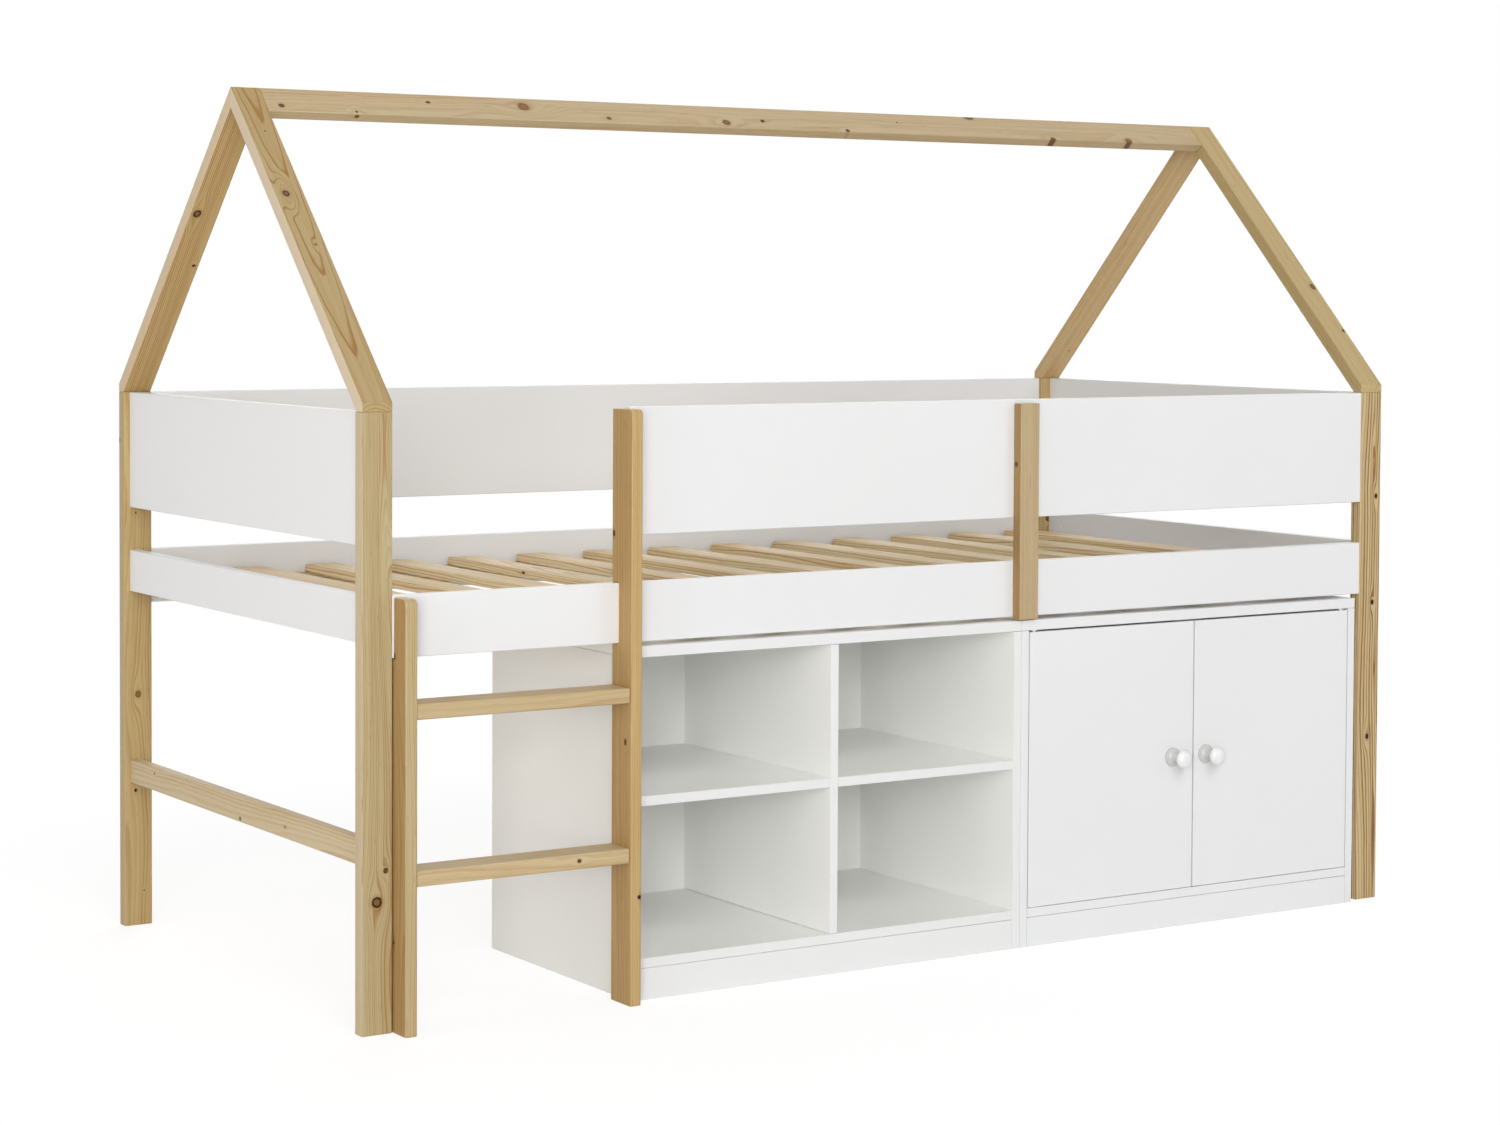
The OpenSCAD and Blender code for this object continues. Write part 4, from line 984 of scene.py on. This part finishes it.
steel = metal("brushed steel", (0.62, 0.62, 0.63, 1), 0.18, (2500, 400, 2500), 0.05)
zinc = metal("cast zinc", (0.66, 0.66, 0.64, 1), 0.32, (900, 900, 900), 0.12)
print("metals:", steel.name, "and", zinc.name)

# %% Plastic and beech
matt, net, shader, place = new_material("matt white plastic")
grit = speckle(net, place, 1400.0, 2.0)
dress(net, shader, {"Colour": tint(net, grit, (0.78, 0.78, 0.77, 1), (0.72, 0.72, 0.71, 1)),
                    "Roughness": calc(net, "MULTIPLY_ADD", grit, 0.15, 0.50), "Height": grit}, 0.1, 0.0001)

beech, net, shader, place = new_material("beech dowel")
fleck = speckle(net, place, 700.0, 3.0)
fill(net, shader, {"Base Color": tint(net, fleck, (0.60, 0.42, 0.25, 1), (0.46, 0.29, 0.15, 1)),
                   "Roughness": calc(net, "MULTIPLY_ADD", fleck, 0.2, 0.5)})
FITTINGS = {"dowels": beech, "cam_bolts": steel, "pivot_pins_left": steel, "pivot_pins_right": steel,
            "pivot_bushes": matt, "shelf_pins": steel}
for node, finish in FITTINGS.items():
    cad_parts[node].data.materials.clear()
    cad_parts[node].data.materials.append(finish)
print("small fittings dressed:", len(FITTINGS))

# %% [markdown]
# ## Screw heads and cam locks
#
# What shows of a screw or a cam lock is a round face with a cross recess. One
# function makes both: a cross-shaped hole is bridged out to a circle, then the
# cross is pushed down and the rim is eased. A head goes to every place where
# the plan has one, turned to face out of its board. It stands a fifth of a
# millimetre proud of the wood, so that it never shares a plane with it.

# %% A head with a cross recess
HEAD_PROUD, SCREW, CAM = 0.2, 4, 7.5


def cross_head(radius):
    """One round head of radius mm, that faces up and stands proud of the level z = 0."""
    head = bmesh.new()
    arm, half = radius * 0.52, radius * 0.13
    corners = [(half, arm), (half, half), (arm, half)]
    for _ in range(3):
        corners += [(y, -x) for x, y in corners[-3:]]
    cross = [head.verts.new((x * MM, y * MM, HEAD_PROUD * MM)) for x, y in corners]
    slot = [head.edges.new(pair) for pair in zip(cross, cross[1:] + cross[:1])]
    ring = bmesh.ops.create_circle(head, cap_ends=False, radius=radius * MM, segments=24)["verts"]
    bmesh.ops.translate(head, vec=(0, 0, HEAD_PROUD * MM), verts=ring)
    rim = list({e for v in ring for e in v.link_edges})
    bmesh.ops.bridge_loops(head, edges=slot + rim)
    floor_face = bmesh.ops.contextual_create(head, geom=cross)["faces"]
    sunk = new_corners(bmesh.ops.extrude_face_region(head, geom=floor_face))
    bmesh.ops.delete(head, geom=[f for f in floor_face if f.is_valid], context="FACES_ONLY")
    bmesh.ops.translate(head, vec=(0, 0, -0.25 * radius * MM), verts=sunk)
    bmesh.ops.scale(head, vec=(0.7, 0.7, 1), verts=sunk)
    skirt = new_corners(bmesh.ops.extrude_edge_only(head, edges=rim))
    bmesh.ops.translate(head, vec=(0, 0, -(HEAD_PROUD + 0.3 * radius) * MM), verts=skirt)
    ease(head, 0.12 * radius, 2, [e for e in rim if e.is_valid])
    bmesh.ops.recalc_face_normals(head, faces=head.faces)
    return head


def fit(whole, part, facing, place):
    """Turns a small part that faces up, moves it to its place on the bed and adds it to the others."""
    turned = Vector(facing).to_track_quat("Z", "Y").to_matrix()
    bmesh.ops.rotate(part, cent=(0, 0, 0), matrix=turned, verts=part.verts)
    bmesh.ops.translate(part, vec=at(*place), verts=part.verts)
    gather(whole, part)


LEFT, RIGHT, AHEAD, BEHIND, UP = (-1, 0, 0), (1, 0, 0), (0, -1, 0), (0, 1, 0), (0, 0, 1)

# %% Wood screws
RAIL_INSIDE, BATTEN_INSIDE, BATTEN_Z = 18, 44, 589
STILE_MIDDLES, POST_MIDDLE = (62, 450), 1232
SLAT_MIDDLE, GAP_MIDDLE = FIRST_SLAT + SLAT_WIDTH / 2, FIRST_SLAT + (SLAT_WIDTH + PITCH) / 2
screws = bmesh.new()
places = [(BEHIND, (x, RAIL_INSIDE, z)) for x in STILE_MIDDLES for z in (645, 622)]
places += [(BEHIND, (POST_MIDDLE, RAIL_INSIDE, z)) for z in (645, 782, 882)]
places += [(UP, (SLAT_MIDDLE + PITCH * i, y, SLAT_TOP)) for i in range(SLATS) for y in (35, 933)]
for i in range(0, SLATS - 1, 3):
    gap = GAP_MIDDLE + PITCH * i
    places += [(BEHIND, (gap, BATTEN_INSIDE, BATTEN_Z)), (AHEAD, (gap, DEPTH - BATTEN_INSIDE, BATTEN_Z))]
for facing, place in places:
    fit(screws, cross_head(SCREW), facing, place)
as_piece(screws, "screw_heads", steel, "steel", "bed", "wood_screws")
for side_name, x in KNOB_X.items():
    one = bmesh.new()
    fit(one, cross_head(SCREW), BEHIND, (x, DOOR_INSIDE, KNOB_Z))
    as_piece(one, "knob_screw_head_" + side_name, steel, "steel", "door_" + side_name,
             "knob_screw_" + side_name)
print("screw heads:", len(places) + len(KNOB_X))

# %% [markdown]
# ## Cam locks and their caps
#
# The cam locks in the white boards are closed with thin white caps, which are
# hardly seen, as in the photograph. The four in the stretchers stay open and
# show their zinc faces towards the inside of the bed.

# %% Cam locks
END_INSIDE, STRETCHER_INSIDE, STRETCHER_Z = 28, 30, 272
FROM_END, FROM_SIDE = 84, 58
CAM_CAP, CAP_THICK, CAP_SUNK = 8.2, 2, 0.5
FAR_END, FAR_SIDE = LENGTH - FROM_END, DEPTH - FROM_SIDE
places = []
for z, first in ((611, FROM_END), (772, 494), (892, 494)):
    places += [(BEHIND, (x, RAIL_INSIDE, z)) for x in (first, FAR_END)]
    places += [(AHEAD, (x, DEPTH - RAIL_INSIDE, z)) for x in (FROM_END, FAR_END)]
for y in (FROM_SIDE, FAR_SIDE):
    for z in (622, 772, 892):
        places += [(RIGHT, (END_INSIDE, y, z)), (LEFT, (LENGTH - END_INSIDE, y, z))]
caps = bmesh.new()
for facing, place in places:
    cap = bmesh.new()
    bmesh.ops.create_cone(cap, cap_ends=True, segments=32, radius1=CAM_CAP * MM, radius2=CAM_CAP * MM,
                          depth=CAP_THICK * MM)
    bmesh.ops.translate(cap, vec=(0, 0, -CAP_SUNK * MM), verts=cap.verts)
    fit(caps, ease(cap, 0.4, 2), facing, place)
open_cams = bmesh.new()
for y in (FROM_SIDE, FAR_SIDE):
    fit(open_cams, cross_head(CAM), RIGHT, (STRETCHER_INSIDE, y, STRETCHER_Z))
    fit(open_cams, cross_head(CAM), LEFT, (LENGTH - STRETCHER_INSIDE, y, STRETCHER_Z))
as_piece(open_cams, "cam_lock_faces", zinc, "zinc", "bed", "cam_locks")
as_piece(caps, "cam_lock_caps", rail_white, "white_board", "bed", "cam_locks")
print("cam locks:", len(places) + 4)

# %% [markdown]
# ## The catch behind the doors
#
# A magnetic catch under the cupboard's top holds both doors. It is a small
# plastic box with two steel poles in its front face, and each door carries a
# thin steel plate that meets them. The box gets a shallow recess by an inset
# and a push, and the poles are bars that end just inside it.

# %% Catch and strike plates
RECESS_RIM, RECESS = 2.5, 1.2
catch = solid_block("magnetic_catch")
mouth = [f for f in catch.faces if f.normal.y < -0.9]
bmesh.ops.inset_region(catch, faces=mouth, thickness=RECESS_RIM * MM)
bmesh.ops.translate(catch, vec=(0, RECESS * MM, 0), verts=list({v for f in mouth for v in f.verts}))
as_piece(ease(catch, 0.6, 2), "catch_housing", matt, "plastic", "bed", "magnetic_catch")

POLE_INSET, POLE_FRONT, POLE_BACK, POLE_THICK = 5, 0.3, 4, 2.5
POLE_LIFTS = (5, 12.5)
poles = bmesh.new()
low, high = corners_of("magnetic_catch")
for lift in POLE_LIFTS:
    near_corner = low + Vector((POLE_INSET, POLE_FRONT, lift)) * MM
    far_corner = Vector((high.x - POLE_INSET * MM, low.y + POLE_BACK * MM, near_corner.z + POLE_THICK * MM))
    gather(poles, ease(block(near_corner, far_corner), 0.3, 2))
as_piece(poles, "catch_poles", steel, "steel", "bed")
for side_name in KNOB_X:
    node = "strike_plate_" + side_name
    as_piece(ease(solid_block(node), 0.3, 2), "eased_" + node, steel, "steel", "door_" + side_name, node)
print("pieces made:", len(finished))
